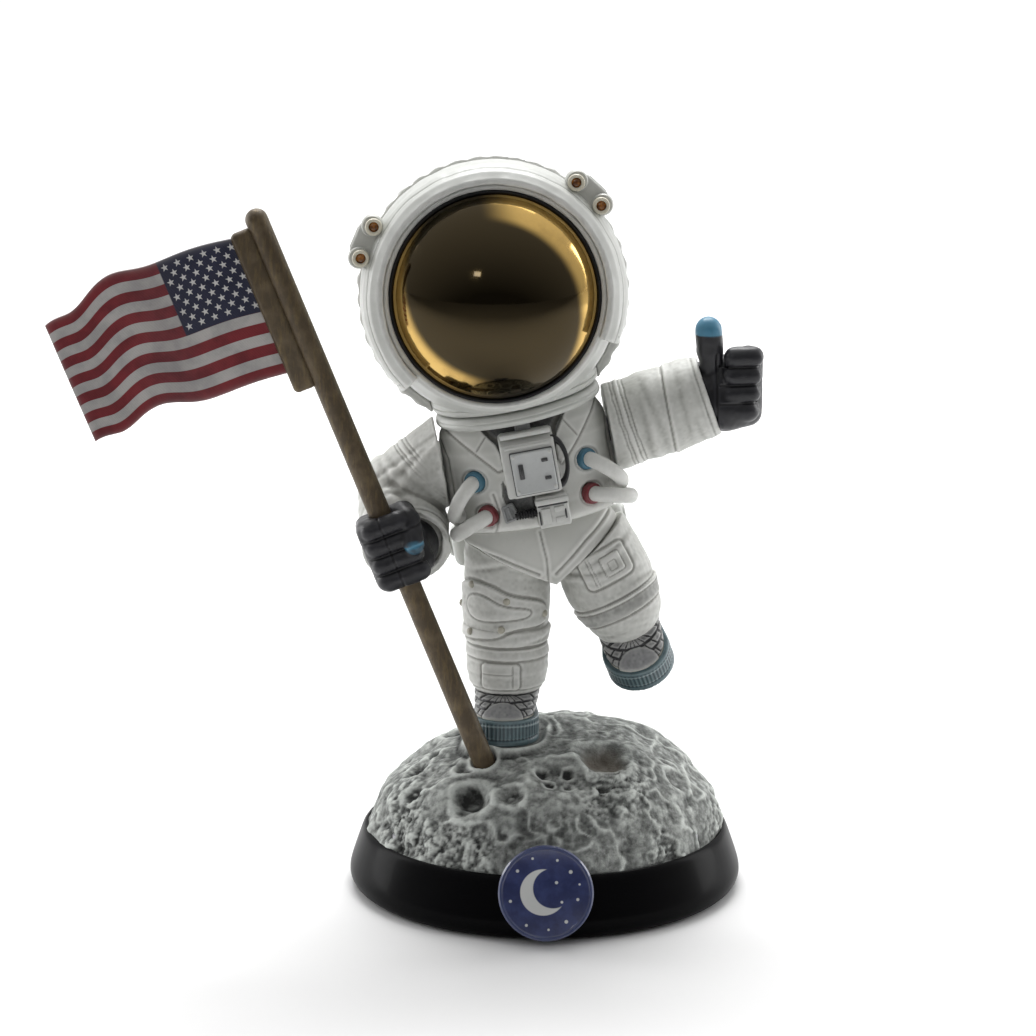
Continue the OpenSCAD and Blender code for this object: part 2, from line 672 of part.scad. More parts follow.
// A turn of tube that leaves the chest at a collar and comes back to it span away, dropping
module hose(spot, span, drop) {
    side = sign(spot[0]);
    at_collar(spot) rotate([-90, 0, 0]) rotate([0, side * drop, 0]) scale([1, 0.7, 1])
        translate([side * span / 2, 0, 0]) rotate([0, 0, side > 0 ? 180 : 150])
            rotate_extrude(angle = 210) translate([span / 2, 0]) circle(hose_r);
}
module hose_pair(blue, blue_span, blue_drop, red, red_span, red_drop) {
    color(suit_white) difference() {
        union() {
            hose(blue, blue_span, blue_drop);
            hose(red, red_span, red_drop);
        }
        at_waist() translate([0, 0, -20]) scale([1, torso_flat, 1])
            cylinder(r = torso_w + press_gap, h = 60, $fn = 96);
        for (s = [blue, red]) at_collar(s) collar(press_gap);
    }
}
module hoses_right() { hose_pair(blue_spots[0], 10.2, 52, red_spots[0], 9.2, 24); }
module hoses_left() { hose_pair(blue_spots[1], 11, 44, red_spots[1], 10.6, 18); }

// ---- Backpack, in the torso frame
pack_y = back_y - 1.6;
module backpack() {
    color(suit_white) at_waist() translate([0, pack_y + 7, -4.4])
        soft_box([33, 14, 28], 3);
}
module backpack_base() {
    color([0.62, 0.62, 0.64]) at_waist() translate([0, pack_y + 7.6, -13.2])
        soft_box([41, 12.4, 8.78], 2.4);
}

// ---- Right arm, bent round the pole
module shoulder_peg_right() {
    color(trim_grey) at_waist() translate([-shoulder_x - peg_in + 2, 0, shoulder_z]) rotate([0, 90, 0])
        cylinder(r = peg_r, h = 2 * peg_in - 2);
}
module sleeve_right() {
    color(suit_white) difference() {
        at_waist() intersection() {
            union() {
                hull() {
                    translate([-shoulder_x, 0, shoulder_z]) rotate([0, 90, 0])
                        cylinder(r = sleeve_r, h = 1, center = true, $fn = 48);
                    translate(elbow_right + [-0.2, -1, 4.2]) sphere(sleeve_r - 0.4, $fn = 32);
                }
                hull() {
                    translate(elbow_right + [-0.2, -1, 4.2]) sphere(sleeve_r - 0.4, $fn = 32);
                    translate(elbow_right) sphere(sleeve_r - 0.2, $fn = 32);
                    aim_forearm() translate([0, 0, -1.6]) cylinder(r = cuff_right_r, h = 1.6, $fn = 48);
                }
            }
            translate([-shoulder_x - 60 - face_gap / 2, -40, -40]) cube([60, 80, 80]);
        }
        at_waist() translate([-shoulder_x - peg_in + 1.7, 0, shoulder_z]) rotate([0, 90, 0])
            cylinder(r = peg_r + press_gap, h = 20);
        at_waist() aim_forearm() {
            translate([0, 0, -plug_in - 0.2]) cylinder(r = cuff_right_r - 1.6, h = 6);
            translate([0, 0, -7.3]) cylinder(r = wrist_peg_r + press_gap, h = 10);
        }
    }
}
// Origin at the right wrist, +Z out of the sleeve
forearm = wrist_right - elbow_right;
module aim_forearm() {
    translate(wrist_right) rotate([0, acos(forearm[2] / norm(forearm)), atan2(forearm[1], forearm[0])])
        children();
}
module wrist_peg_right() {
    color(trim_grey) at_waist() aim_forearm() translate([0, 0, -7]) cylinder(r = wrist_peg_r, h = 9);
}
// What a hand must keep clear of: all behind the cuff's edge but the plug that enters it
plug_in = 2.05;
module behind_cuff(plug_r) {
    translate([0, 0, -20]) difference() {
        cylinder(r = 24, h = 20.1);
        translate([0, 0, 20 - plug_in]) cylinder(r = plug_r, h = plug_in + 1);
    }
}
// The fist in the pole frame: four fingers in front of the pole, the palm behind it
finger_r = 2.35;
module glove_right() {
    color(rubber_black) difference() {
        union() {
            at_pole() {
                for (i = [-1.5 : 1.5]) translate([0, 0, i * 4.1 + 0.6])
                    bar([-3.4 + 0.2 * i, -4.2, 0], [4.2, -4.4, 0], finger_r);
                hull() {
                    for (z = [-5.6, 7]) {
                        translate([-4, -3, z]) sphere(2.3, $fn = hull_fn);
                        translate([-4.4, 3, z]) sphere(2.3, $fn = hull_fn);
                        translate([4.8, 3.4, z]) sphere(2.6, $fn = hull_fn);
                    }
                }
                // thumb, down over the fingers
                bar([4.6, 2, 7.4], [6.2, -3.4, 6], 2.3);
                bar([6.2, -3.4, 6], [5.2, -6.2, 0.8], 2.3);
            }
            at_waist() hull() {
                aim_forearm() translate([0, 0, 0.15 - plug_in])
                    cylinder(r = hem_r - 2, h = 2, $fn = 40);
                translate(fist_in_torso + [1.5, 4.4, 1]) sphere(5.6, $fn = hull_fn);
            }
        }
        at_pole() translate([0, 0, -30]) cylinder(r = pole_r + run_gap, h = 60);
        at_waist() aim_forearm() {
            translate([0, 0, -7]) cylinder(r = wrist_peg_r + press_gap, h = 9.3);
            behind_cuff(cuff_right_r - 1.6 - press_gap);
        }
    }
}

// ---- Left arm, raised
module shoulder_peg_left() {
    color(trim_grey) at_shoulder_left() translate([0, 0, -peg_in]) cylinder(r = peg_r, h = 2 * peg_in - 2);
}
module sleeve_left() {
    color(suit_white) difference() {
        intersection() {
            at_sleeve_left() translate([0, 0, -3]) rotate_extrude() polygon([[0, 0],
                [sleeve_r, 0], [sleeve_r, 5], [sleeve_r - 0.2, 9], [sleeve_r + 0.1, 13],
                [sleeve_r - 0.3, sleeve_len - 5], [sleeve_r - 0.5, sleeve_len - 3],
                [hem_r, sleeve_len + 3], [0, sleeve_len + 3]]);
            at_shoulder_left() translate([-40, -40, face_gap / 2]) cube([80, 80, 80]);
        }
        at_shoulder_left() translate([0, 0, -1]) cylinder(r = peg_r + run_gap, h = peg_in);
        at_sleeve_left() {
            translate([0, 0, sleeve_len - plug_in - 0.3]) cylinder(r = hem_r - 1.5, h = 6);
            translate([0, 0, sleeve_len - 8.4]) cylinder(r = wrist_peg_r + run_gap, h = 12);
        }
    }
}
module wrist_peg_left() {
    color(trim_grey) at_sleeve_left() translate([0, 0, sleeve_len - 8]) cylinder(r = wrist_peg_r, h = 10);
}
// The fist in its own frame: origin at the wrist, +X away from the sleeve, +Z up the thumb
module at_fist_left() {
    at_sleeve_left() translate([0, 0, sleeve_len]) rotate([0, -90 + sleeve_bend + torso_lean, 0]) children();
}
module glove_left() {
    color(rubber_black) difference() {
        union() {
            at_sleeve_left() translate([0, 0, sleeve_len - plug_in])
                cylinder(r = hem_r - 1.5 - run_gap, h = plug_in + 0.5);
            at_fist_left() {
                hull() {
                    translate([-0.2, 0, -0.6]) rotate([0, 70, 0]) cylinder(r = hem_r - 2, h = 1, $fn = 40);
                    translate([3.4, -3.2, -2.2]) sphere(5.6, $fn = hull_fn);
                    translate([1.6, -3, 3.6]) sphere(4.2, $fn = hull_fn);
                    for (z = [-3.6, 8.6]) translate([9, -2, z]) sphere(3.2, $fn = hull_fn);
                }
                for (i = [0 : 3]) bar([4.2 + 0.45 * (3 - i), -6.2, 10 - 4.2 * i],
                    [9 + 0.3 * (3 - i), -5.2, 10 - 4.2 * i], finger_r);
                bar([0.6, -3.6, 5], [-0.4, -4.4, 16.2], 2.5);
            }
        }
        at_sleeve_left() translate([0, 0, sleeve_len]) {
            translate([0, 0, -8]) cylinder(r = wrist_peg_r + press_gap, h = 10.3);
            behind_cuff(hem_r - 1.5 - run_gap);
        }
    }
}

// ---- Raised leg
module hip_peg_left() {
    color(trim_grey) at_hip_left() translate([0, 0, -hip_peg_in])
        cylinder(r = peg_r, h = hip_peg_in + peg_in - 2);
}
module leg_left() {
    band = [sin(thigh_turn), 0, cos(thigh_turn)];
    color(suit_white) difference() {
        intersection() {
            union() {
                hull() {
                    at_hip_left() cylinder(r = thigh_r - 0.6, h = 1, $fn = 48);
                    translate(hip_left + band * 9 + [0, -1.2, 0]) sphere(thigh_r - 0.3, $fn = 32);
                    translate(knee_left) sphere(leg_r - 0.6, $fn = 32);
                }
                hull() {
                    translate(knee_left) sphere(leg_r - 0.6, $fn = 32);
                    at_shin_left() translate([0, 0, -shin_len]) cylinder(r = leg_r - 1.8, h = 2, $fn = 48);
                }
            }
            at_hip_left() translate([-40, -40, face_gap / 2]) cube([80, 80, 80]);
            at_shin_left() translate([-40, -40, -shin_len]) cube(90);
        }
        at_hip_left() translate([0, 0, -1]) cylinder(r = peg_r + run_gap, h = peg_in);
        at_shin_left() translate([0, 0, -shin_len - 1]) cylinder(r = leg_r - 4.4 + press_gap, h = 5);
    }
}

// ---- Helmet
module helmet_body_cut() {
    at_neck() translate([-60, -60, -120 + collar_floor_z]) cube(120);
}
module collar_pocket() {
    at_neck() translate([0, 0, -1]) cylinder(r = neck_ring_r + 0.3 + press_gap,
        h = 1 + collar_floor_z + collar_floor_t + press_gap, $fn = 96);
}
module helmet_collar() {
    color(suit_white) at_neck() difference() {
        translate([0, 0, collar_floor_z]) rotate_extrude($fn = 96) polygon([[0, 0],
            [neck_ring_r - 0.4, 0], [neck_ring_r + 0.3, 0.6], [neck_ring_r + 0.3, collar_floor_t],
            [0, collar_floor_t]]);
        translate([0, 0, -1]) cylinder(r = neck_peg_r + run_gap, h = 10);
    }
}
front_r = helmet_r - 2.6;
// The front shell: chin, and the frame of the visor, spun round the visor's axis
module helmet_shell() {
    color(suit_white) difference() {
        at_visor() difference() {
            rotate_extrude($fn = 96) polygon([[visor_r, opening - 2.6], [visor_r, opening + 0.9],
                [visor_r + 0.9, opening + 1.4], [visor_r + 1.9, opening + 0.2],
                [front_r - 0.9, 11.5], [front_r - 0.1, 6], [front_r, 1], [front_r, -6],
                [front_r - helmet_wall, -6], [front_r - helmet_wall, 7]]);
        }
        helmet_body_cut();
        collar_pocket();
    }
}
// The quilted cover over the back of the helmet
module helmet_cover() {
    color(suit_white) difference() {
        at_visor() difference() {
            sphere(helmet_r, $fn = 96);
            sphere(helmet_r - helmet_wall, $fn = 96);
            translate([0, 0, -2]) cylinder(r = 60, h = 60);
            translate([0, 0, -6.3]) cylinder(r = front_r + press_gap, h = 10);
        }
        helmet_body_cut();
        collar_pocket();
    }
}
// The hood over the crown and both cheeks
module helmet_hood() {
    color(suit_white) at_visor() difference() {
        rotate_extrude($fn = 96) polygon([[visor_r + 1.95, opening + 0.25],
            [visor_r + 1.2, opening + 1.6], [visor_r + 1.2, opening + 2.8],
            [visor_r + 2.4, opening + 3.1], [visor_r + 4.2, opening + 1.2],
            [front_r + 1.2, 15.2], [front_r + 1.9, 9.8], [front_r + 2, 4], [front_r + 1.9, 0.4],
            [front_r + 1.5, -1.6], [front_r + 0.05, -1.6], [front_r + 0.05, 1],
            [front_r - 0.05, 6.05], [front_r - 0.85, 11.55]]);
        // the open lower part, between the two cheeks
        rotate(-90) translate([0, 0, -20]) linear_extrude(60)
            polygon([[0, 0], [60, 60 * tan(180 - hood_half_angle)],
                [60, -60 * tan(180 - hood_half_angle)]]);
    }
}
visor_seat = sqrt(pow(visor_dome_r, 2) - pow(visor_r - 1, 2));
module visor() {
    color([0.5, 0.36, 0.12]) at_visor() translate([0, 0, opening - visor_seat]) intersection() {
        difference() {
            sphere(visor_dome_r, $fn = 96);
            sphere(visor_dome_r - 1.4, $fn = 96);
        }
        translate([0, 0, visor_seat]) cylinder(r = visor_r, h = 60);
    }
}
module visor_gasket() {
    color(rubber_black) at_visor() translate([0, 0, opening]) difference() {
        translate([0, 0, -0.1]) cylinder(r = visor_r - press_gap, h = 1.3);
        translate([0, 0, -visor_seat]) sphere(visor_dome_r + press_gap, $fn = 96);
    }
}
// Each side of the hood carries a housing with two lamps
module at_lamp(side, angle) {
    at_visor() rotate(-side * angle) translate([0, lamp_ring_r, lamp_depth]) children();
}
module lamp_housings() {
    middle = (lamp_angles[0] + lamp_angles[1]) / 2;
    depth = 8.5;
    color([0.7, 0.7, 0.67]) for (side = [-1, 1]) difference() {
        union() {
            for (a = lamp_angles) at_lamp(side, a) translate([0, 0.4, -depth])
                cylinder(r = 3, h = depth - 0.5);
            at_visor() rotate(-side * middle)
                translate([-4.2, lamp_ring_r - 2.6, lamp_depth - depth]) cube([8.4, 5.6, depth - 1.1]);
        }
        for (a = lamp_angles) at_lamp(side, a) translate([0, 0.4, -2]) cylinder(r = 2 + press_gap, h = 6);
        // seat on the hood
        at_visor() rotate_extrude($fn = 96) polygon([[20, -5], [front_r + 2.02, -5],
            [front_r + 2.02, 10], [front_r + 0.3, 21], [20, 21]]);
    }
}
module lamp_bezels() {
    color([0.8, 0.78, 0.72]) for (side = [-1, 1], a = lamp_angles) at_lamp(side, a)
        translate([0, 0.4, -2]) difference() {
            union() {
                cylinder(r = 2, h = 3);
                translate([0, 0, 1.6]) cylinder(r = 2.4, h = 1.6);
            }
            translate([0, 0, 1]) cylinder(r = 1.4, h = 4);
        }
}
module lamp_lenses() {
    color([0.36, 0.17, 0.04]) for (side = [-1, 1], a = lamp_angles) at_lamp(side, a)
        translate([0, 0.4, -1]) cylinder(r = 1.4 - press_gap, h = 1.4);
}

// ---- Flag, in the pole frame
module flag_pole() {
    color([0.24, 0.2, 0.13]) at_pole() {
        translate([0, 0, -pole_down]) cylinder(r = pole_r, h = pole_len - pole_r);
        translate([0, 0, pole_up - pole_r]) sphere(pole_r);
    }
}
module flag_batten() {
    color([0.24, 0.2, 0.13]) at_pole() difference() {
        translate([-pole_r - batten_w / 2 + 0.9, 0, batten_top - batten_len])
            soft_box([batten_w, batten_t, batten_len], 0.8);
        translate([0, 0, -pole_down]) cylinder(r = pole_r + press_gap, h = pole_len + 9);
        flag_slot();
    }
}
flag_x = pole_r + batten_w - 1.9;           // where the flag leaves the batten's slot
flag_mid = batten_top - flag_h / 2 - 1;
module flag_slot() {
    translate([-flag_x - 5 + 0.4, -flag_t / 2 - press_gap - 0.3, batten_top - batten_len - 1])
        cube([5, flag_t + 2 * press_gap + 0.6, batten_len + 2]);
}
// The moulded waves: depth and height of the flag at u along it and v up it, both 0 to 1
function flag_depth(u, v) = -3.4 * u * sin(u * 400 + 40 * v) * (1 - 0.25 * v);
function flag_rise(u, v) = 2.5 * sin(min(u / 0.84, 1.3) * 180) * (0.35 + 0.65 * v)
    + 1.2 * u * sin(u * 500 + 60);
flag_taper = 0.1;                           // the fly edge is this much shorter than the hoist
function flag_point(u, v, side) = [-flag_x - u * flag_len,
    flag_depth(u, v) + side * flag_t / 2,
    flag_mid + (v - 0.5) * flag_h * (1 - flag_taper * u) + flag_rise(u, v)];
module flag_cloth() {
    nu = 24;
    nv = 6;
    row = nv + 1;
    count = (nu + 1) * row;
    points = [for (side = [-1, 1], i = [0 : nu], j = [0 : nv]) flag_point(i / nu, j / nv, side)];
    function at(side, i, j) = side * count + i * row + j;
    faces = concat(
        [for (i = [0 : nu - 1], j = [0 : nv - 1]) each [
            [at(0, i, j), at(0, i, j + 1), at(0, i + 1, j + 1)],
            [at(0, i, j), at(0, i + 1, j + 1), at(0, i + 1, j)],
            [at(1, i, j), at(1, i + 1, j + 1), at(1, i, j + 1)],
            [at(1, i, j), at(1, i + 1, j), at(1, i + 1, j + 1)]]],
        [for (i = [0 : nu - 1]) each [
            [at(0, i, 0), at(0, i + 1, 0), at(1, i + 1, 0)],
            [at(0, i, 0), at(1, i + 1, 0), at(1, i, 0)],
            [at(0, i, nv), at(1, i + 1, nv), at(0, i + 1, nv)],
            [at(0, i, nv), at(1, i, nv), at(1, i + 1, nv)]]],
        [for (j = [0 : nv - 1]) each [
            [at(0, 0, j), at(1, 0, j + 1), at(0, 0, j + 1)],
            [at(0, 0, j), at(1, 0, j), at(1, 0, j + 1)],
            [at(0, nu, j), at(0, nu, j + 1), at(1, nu, j + 1)],
            [at(0, nu, j), at(1, nu, j + 1), at(1, nu, j)]]]);
    color([0.5, 0.1, 0.12]) at_pole() polyhedron(points, faces);
}

base_pad();
base_plate();
plinth();
plinth_screws();
moon_surface();
badge();
foot_screw();
boot_right_sole();
boot_right_upper();
leg_right();
knee_plate();
knee_rivets();
hip_peg_right();
pelvis();
torso();
chest_bib();
harness_right();
harness_left();
neck_ring();
neck_peg();
neck_loop();
chest_box();
chest_box_panel();
chest_box_switches();
camera_box();
box_hose();
hose_collars_blue();
hose_collars_red();
hoses_right();
hoses_left();
tether_buckle();
tether_spring();
backpack();
backpack_base();
shoulder_peg_right();
sleeve_right();
wrist_peg_right();
glove_right();
shoulder_peg_left();
sleeve_left();
wrist_peg_left();
glove_left();
hip_peg_left();
leg_left();
boot_left_upper();
boot_left_sole();
helmet_collar();
helmet_shell();
helmet_cover();
helmet_hood();
visor();
visor_gasket();
lamp_housings();
lamp_bezels();
lamp_lenses();
flag_pole();
flag_batten();
flag_cloth();
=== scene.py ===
import json
import math

import bmesh
import bpy
import numpy as np
from mathutils import Matrix, Vector


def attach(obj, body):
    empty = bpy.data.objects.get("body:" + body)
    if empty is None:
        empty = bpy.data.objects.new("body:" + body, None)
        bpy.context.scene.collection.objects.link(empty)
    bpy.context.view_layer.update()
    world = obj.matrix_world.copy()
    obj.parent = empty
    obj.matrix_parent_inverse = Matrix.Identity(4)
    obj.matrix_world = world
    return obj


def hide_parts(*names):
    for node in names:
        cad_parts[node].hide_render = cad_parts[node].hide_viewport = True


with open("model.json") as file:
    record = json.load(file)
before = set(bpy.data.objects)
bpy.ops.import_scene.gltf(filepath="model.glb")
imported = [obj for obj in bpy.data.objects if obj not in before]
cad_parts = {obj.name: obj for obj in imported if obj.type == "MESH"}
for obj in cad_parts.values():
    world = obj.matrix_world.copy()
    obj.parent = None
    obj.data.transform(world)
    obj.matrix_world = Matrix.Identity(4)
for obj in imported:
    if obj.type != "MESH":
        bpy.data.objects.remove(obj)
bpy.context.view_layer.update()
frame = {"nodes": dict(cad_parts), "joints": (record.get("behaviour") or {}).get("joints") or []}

nodes = frame["nodes"]

# ---- Sizes in millimetres; the figure faces -Y, and right and left are its own
MM = 0.001
PLINTH_FOOT_R = 43.6
PLINTH_R = 46
RIM_R = 42.6
PLINTH_H = 14.6
BELLY_Z = 3.8
SEAT_Z = 12
MOON_R = 41.3
MOON_H = 25.6
SOLE_Z = 37.0
BOOT_LEN = 24
BOOT_W = 16
BOOT_H = 10.6
HEM_Z = SOLE_Z + BOOT_H
LEG_X = -8.8
LEG_R = 10
HIP_Z = HEM_Z + 32
TORSO_W = 20
TORSO_FLAT = 0.74
CHEST_Y = -TORSO_W * TORSO_FLAT
SHOULDER_X = 19.6
SHOULDER_Z = 16.8
SLEEVE_LEN = 24.5
SLEEVE_TURN = 70 / 13  # degrees round the sleeve for each mm
VISOR_R = 24
VISOR_DOME_R = 26.4
OPENING = 18.2
HOOD_HALF_ANGLE = 124
LAMP_ANGLES = (48, 62)
LAMP_RING_R = 32.6
LAMP_DEPTH = 16
NECK_RING_R = 19.2
HOSE_R = 1.75
HOSE_BEND = 210
COLLAR_R = 2.5
BLUE_SPOTS = ((-13.2, 12.6), (13, 13.2))
RED_SPOTS = ((-11.6, 4.4), (12.8, 5))
POLE_R = 2.6
POLE_UP = 84.6
POLE_DOWN = 64.4
FIST_LOW_Z = -6.0
BATTEN_W = 5.4
BATTEN_T = 3.6
BATTEN_TOP = 81.0
BATTEN_LEN = 39
FLAG_X = 6.1
FLAG_LEN = 47
FLAG_H = 33
FLAG_T = 1.3
FLAG_MID = 63.5
FLAG_TAPER = 0.1
CANTON_LEN = 0.4  # shares of the flag's length and height
CANTON_H = 0.5385


# ---- Frames
def moved(x, y, z):
    return Matrix.Translation((x * MM, y * MM, z * MM))


def turned(axis, degrees):
    return Matrix.Rotation(math.radians(degrees), 4, axis)


joint_at = {joint["name"]: Vector(joint["pos_m"]) / MM for joint in frame["joints"] if "pos_m" in joint}
ROW = Matrix.Identity(4)
WAIST = moved(-1.8, 0, HIP_Z + 9.6) @ turned("Y", -10) @ turned("Z", 4)
NECK = moved(*joint_at["neck_turn"]) @ turned("Y", -12)
# the helmet's centre: +Z out through the visor, +Y up, +X to the figure's left
HELMET = NECK @ moved(0, 0, 25.6) @ turned("Z", 3) @ turned("X", 83)
SHIN_R = moved(LEG_X, 0, HEM_Z)
BOOT_R = moved(LEG_X, 0, SOLE_Z) @ turned("Z", -5)
THIGH_L = moved(*joint_at["left_hip_swivel"]) @ turned("Y", 152.5)
SHIN_L = moved(17.6, -3.0, 68.36) @ turned("Y", -18) @ turned("X", 34)
BOOT_L = SHIN_L @ moved(0, 0, -4.2 - BOOT_H)
SLEEVE_L = WAIST @ moved(SHOULDER_X, 0, SHOULDER_Z) @ turned("Y", 81) @ turned("X", 4)
FIST_L = SLEEVE_L @ moved(0, 0, SLEEVE_LEN) @ turned("Y", -71)
POLE = moved(-34.43, -17.14, 84.87) @ turned("Y", -21.8)
BADGE = moved(0, 0.1 - PLINTH_R, BELLY_Z + 8.2) @ turned("X", 90 - 17.5)


# ---- Fields over a surface
def eased(value, low, high):
    """0 below low, 1 above high, and a smooth step between them."""
    t = np.clip((value - low) / (high - low), 0, 1)
    return t * t * (3 - 2 * t)


def scatter(cell, seed):
    """A repeatable number from -1 to 1 for each whole-number cell."""
    key = cell[:, 0] * 374761393 + cell[:, 1] * 668265263 + cell[:, 2] * 1440662683
    key = (key + seed * 974634777) & 0xFFFFFFFF
    key = ((key ^ (key >> 13)) * 1274126177) & 0xFFFFFFFF
    return ((key ^ (key >> 16)) & 0xFFFF) / 32767.5 - 1


def lumps(at, size, seed=0, octaves=1):
    """Smooth noise, about -1 to 1, with features of that size in mm."""
    total = np.zeros(len(at))
    strength = 1.0
    for octave in range(octaves):
        spot = at / size + 17.3 * (seed + octave + 1)
        cell = np.floor(spot).astype(np.int64)
        part = spot - cell
        part = part ** 3 * (part * (part * 6 - 15) + 10)
        for corner in range(8):
            step = np.array([corner & 1, corner >> 1 & 1, corner >> 2])
            weight = np.prod(np.where(step, part, 1 - part), axis=1)
            total += strength * weight * scatter(cell + step, seed + octave)
        strength *= 0.5
        size = size * 0.5
    return total


def from_line(x, y, points):
    """Distance from each place (x, y) to a line through the points."""
    best = np.full(len(x), 1e9)
    for (ax, ay), (bx, by) in zip(points, points[1:]):
        length2 = (bx - ax) ** 2 + (by - ay) ** 2
        t = np.clip(((x - ax) * (bx - ax) + (y - ay) * (by - ay)) / length2, 0, 1)
        best = np.minimum(best, np.hypot(x - ax - t * (bx - ax), y - ay - t * (by - ay)))
    return best


def inside(x, y, outline):
    """Distance to a closed outline, positive inside it."""
    within = np.zeros(len(x), bool)
    for (ax, ay), (bx, by) in zip(outline, outline[1:] + outline[:1]):
        if ay != by:
            crosses = (ay > y) != (by > y)
            within ^= crosses & (x < (bx - ax) * (y - ay) / (by - ay) + ax)
    away = from_line(x, y, outline + outline[:1])
    return np.where(within, away, -away)


def inside_box(x, y, centre, half, radius=0.8):
    """Distance to a rounded box, positive inside it."""
    qx = np.abs(x - centre[0]) - half[0] + radius
    qy = np.abs(y - centre[1]) - half[1] + radius
    return radius - np.hypot(np.maximum(qx, 0), np.maximum(qy, 0)) - np.minimum(np.maximum(qx, qy), 0)


def rounded(points, rounds=2, closed=True):
    """The same outline with its corners cut until they are round."""
    for _ in range(rounds):
        after = points[1:] + points[:1] if closed else points[1:]
        cut = []
        for (ax, ay), (bx, by) in zip(points, after):
            cut.append((ax * 0.75 + bx * 0.25, ay * 0.75 + by * 0.25))
            cut.append((ax * 0.25 + bx * 0.75, ay * 0.25 + by * 0.75))
        points = cut if closed else [points[0]] + cut[1:-1] + [points[-1]]
    return points


def groove(away, width=0.32):
    return np.exp(-((away / width) ** 2))


def seam(away, depth=0.26, width=0.3):
    """A pressed line with a soft lip on both sides."""
    return -depth * groove(away, width) + depth * 0.32 * groove(away - 2.6 * width, width * 1.5)


# ---- Scene helpers
def mesh_from(name, bm):
    mesh = bpy.data.meshes.new(name)
    bm.to_mesh(mesh)
    bm.free()
    return mesh


def added(name, data):
    """A new object in the scene, at the origin."""
    obj = bpy.data.objects.new(name, data)
    bpy.context.scene.collection.objects.link(obj)
    return obj


# ---- Skins: moulded pieces whose points are moved
class Skin:
    """The closed surface of one piece, held in mm in a frame of its own."""

    def __init__(self, name, place, mesh):
        self.name = name
        self.place = place @ Matrix.Scale(MM, 4)
        self.mesh = mesh
        mesh.transform(self.place.inverted())
        flat = np.empty(len(mesh.vertices) * 3, np.float32)
        mesh.vertices.foreach_get("co", flat)
        self.at = flat.reshape(-1, 3).astype(float)
        ends = np.empty(len(mesh.edges) * 2, np.int32)
        mesh.edges.foreach_get("vertices", ends)
        self.ends = ends.reshape(-1, 2)
        self.degree = np.maximum(np.bincount(ends, minlength=len(self.at)), 1)
        self.marks = {}

    @property
    def xyz(self):
        return self.at.T

    def normals(self):
        self.mesh.vertices.foreach_set("co", self.at.astype(np.float32).ravel())
        self.mesh.update()
        flat = np.empty(len(self.at) * 3, np.float32)
        self.mesh.vertex_normals.foreach_get("vector", flat)
        return flat.reshape(-1, 3).astype(float)

    def mean(self, values):
        """The mean over each point's neighbours."""
        a, b = self.ends.T
        columns = []
        for column in values.T:
            there = np.bincount(a, column[b], len(self.at)) + np.bincount(b, column[a], len(self.at))
            columns.append(there / self.degree)
        return np.array(columns).T

    def smooth(self, rounds):
        for _ in range(rounds):
            self.at += 0.5 * (self.mean(self.at) - self.at)
            self.at -= 0.52 * (self.mean(self.at) - self.at)

    def soften(self, rounds, grow):
        """Melts small gaps, then grows back by as much as that shrank it."""
        for _ in range(rounds):
            self.at = self.mean(self.at)
        self.push(grow + 0 * self.at[:, 0])

    def push(self, amount):
        """Moves each point along its normal, outwards where the amount is above 0."""
        self.at += self.normals() * np.asarray(amount)[:, None]

    def stain_and_shade(self, fine=0.05, broad=0.14):
        """Marks the hollows, where a wash and painted shade settle, and the edges, which are rubbed light
        and on some pieces carry a painted highlight.
        """
        normals = self.normals()
        near = self.at
        for _ in range(3):
            near = self.mean(near)
        far = near
        for _ in range(14):
            far = self.mean(far)
        small = np.einsum("ij,ij->i", self.at - near, normals) / fine
        large = np.einsum("ij,ij->i", self.at - far, normals) / broad
        # darkening of the hollows: partly a thin wash, partly painted shade in the broader hollows
        self.marks["wash_and_shade"] = np.clip(-small, 0, 1) * 0.75 + np.clip(-large, 0, 1) * 0.45
        self.marks["edge"] = np.clip(small, 0, 1) * 0.6 + np.clip(large, 0, 1) * 0.5

    def finish(self, body, slot, coat, *stands_for):
        self.mesh.vertices.foreach_set("co", self.at.astype(np.float32).ravel())
        for name, values in self.marks.items():
            layer = self.mesh.attributes.new(name, "FLOAT", "POINT")
            layer.data.foreach_set("value", np.clip(values, 0, 1).astype(np.float32))
        self.mesh.transform(self.place)
        self.mesh.update()
        return settle(self.name, self.mesh, body, coat, stands_for, sharp=180)


def settle(name, mesh, body, coat, stands_for, sharp=38):
    """Puts a finished mesh in the scene, on its body, with its material."""
    mesh.name = name
    mesh.materials.clear()
    for each in coat if isinstance(coat, list) else [coat]:
        mesh.materials.append(each)
    mesh.shade_smooth()
    if sharp < 180:
        mesh.set_sharp_from_angle(angle=math.radians(sharp))
    obj = added(name, mesh)
    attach(obj, body)
    if stands_for:
        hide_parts(*stands_for)
    return obj


def skin_of(name, place, node, voxel=0.3, rounds=8):
    """A skin laid over a CAD node's solid as an even net of small faces."""
    bm = bmesh.new()
    bm.from_mesh(nodes[node].data)
    bmesh.ops.remove_doubles(bm, verts=bm.verts, dist=1e-6)
    holder = added(name + "_net", mesh_from(name, bm))
    net = holder.modifiers.new("net", "REMESH")
    net.mode = "VOXEL"
    net.voxel_size = voxel * MM
    depsgraph = bpy.context.evaluated_depsgraph_get()
    made = bpy.data.meshes.new_from_object(holder.evaluated_get(depsgraph))
    bpy.data.objects.remove(holder)
    skin = Skin(name, place, made)
    skin.smooth(rounds)
    return skin


def skin_from(name, place, bm):
    """A skin from a mesh that was modelled in mm in its own frame."""
    bm.transform(place @ Matrix.Scale(MM, 4))
    return Skin(name, place, mesh_from(name, bm))


def piece(name, place, bm, body, slot, coat, *stands_for, sharp=38):
    """A piece from a mesh that was modelled in mm in its own frame."""
    bm.transform(place @ Matrix.Scale(MM, 4))
    return settle(name, mesh_from(name, bm), body, coat, stands_for, sharp)


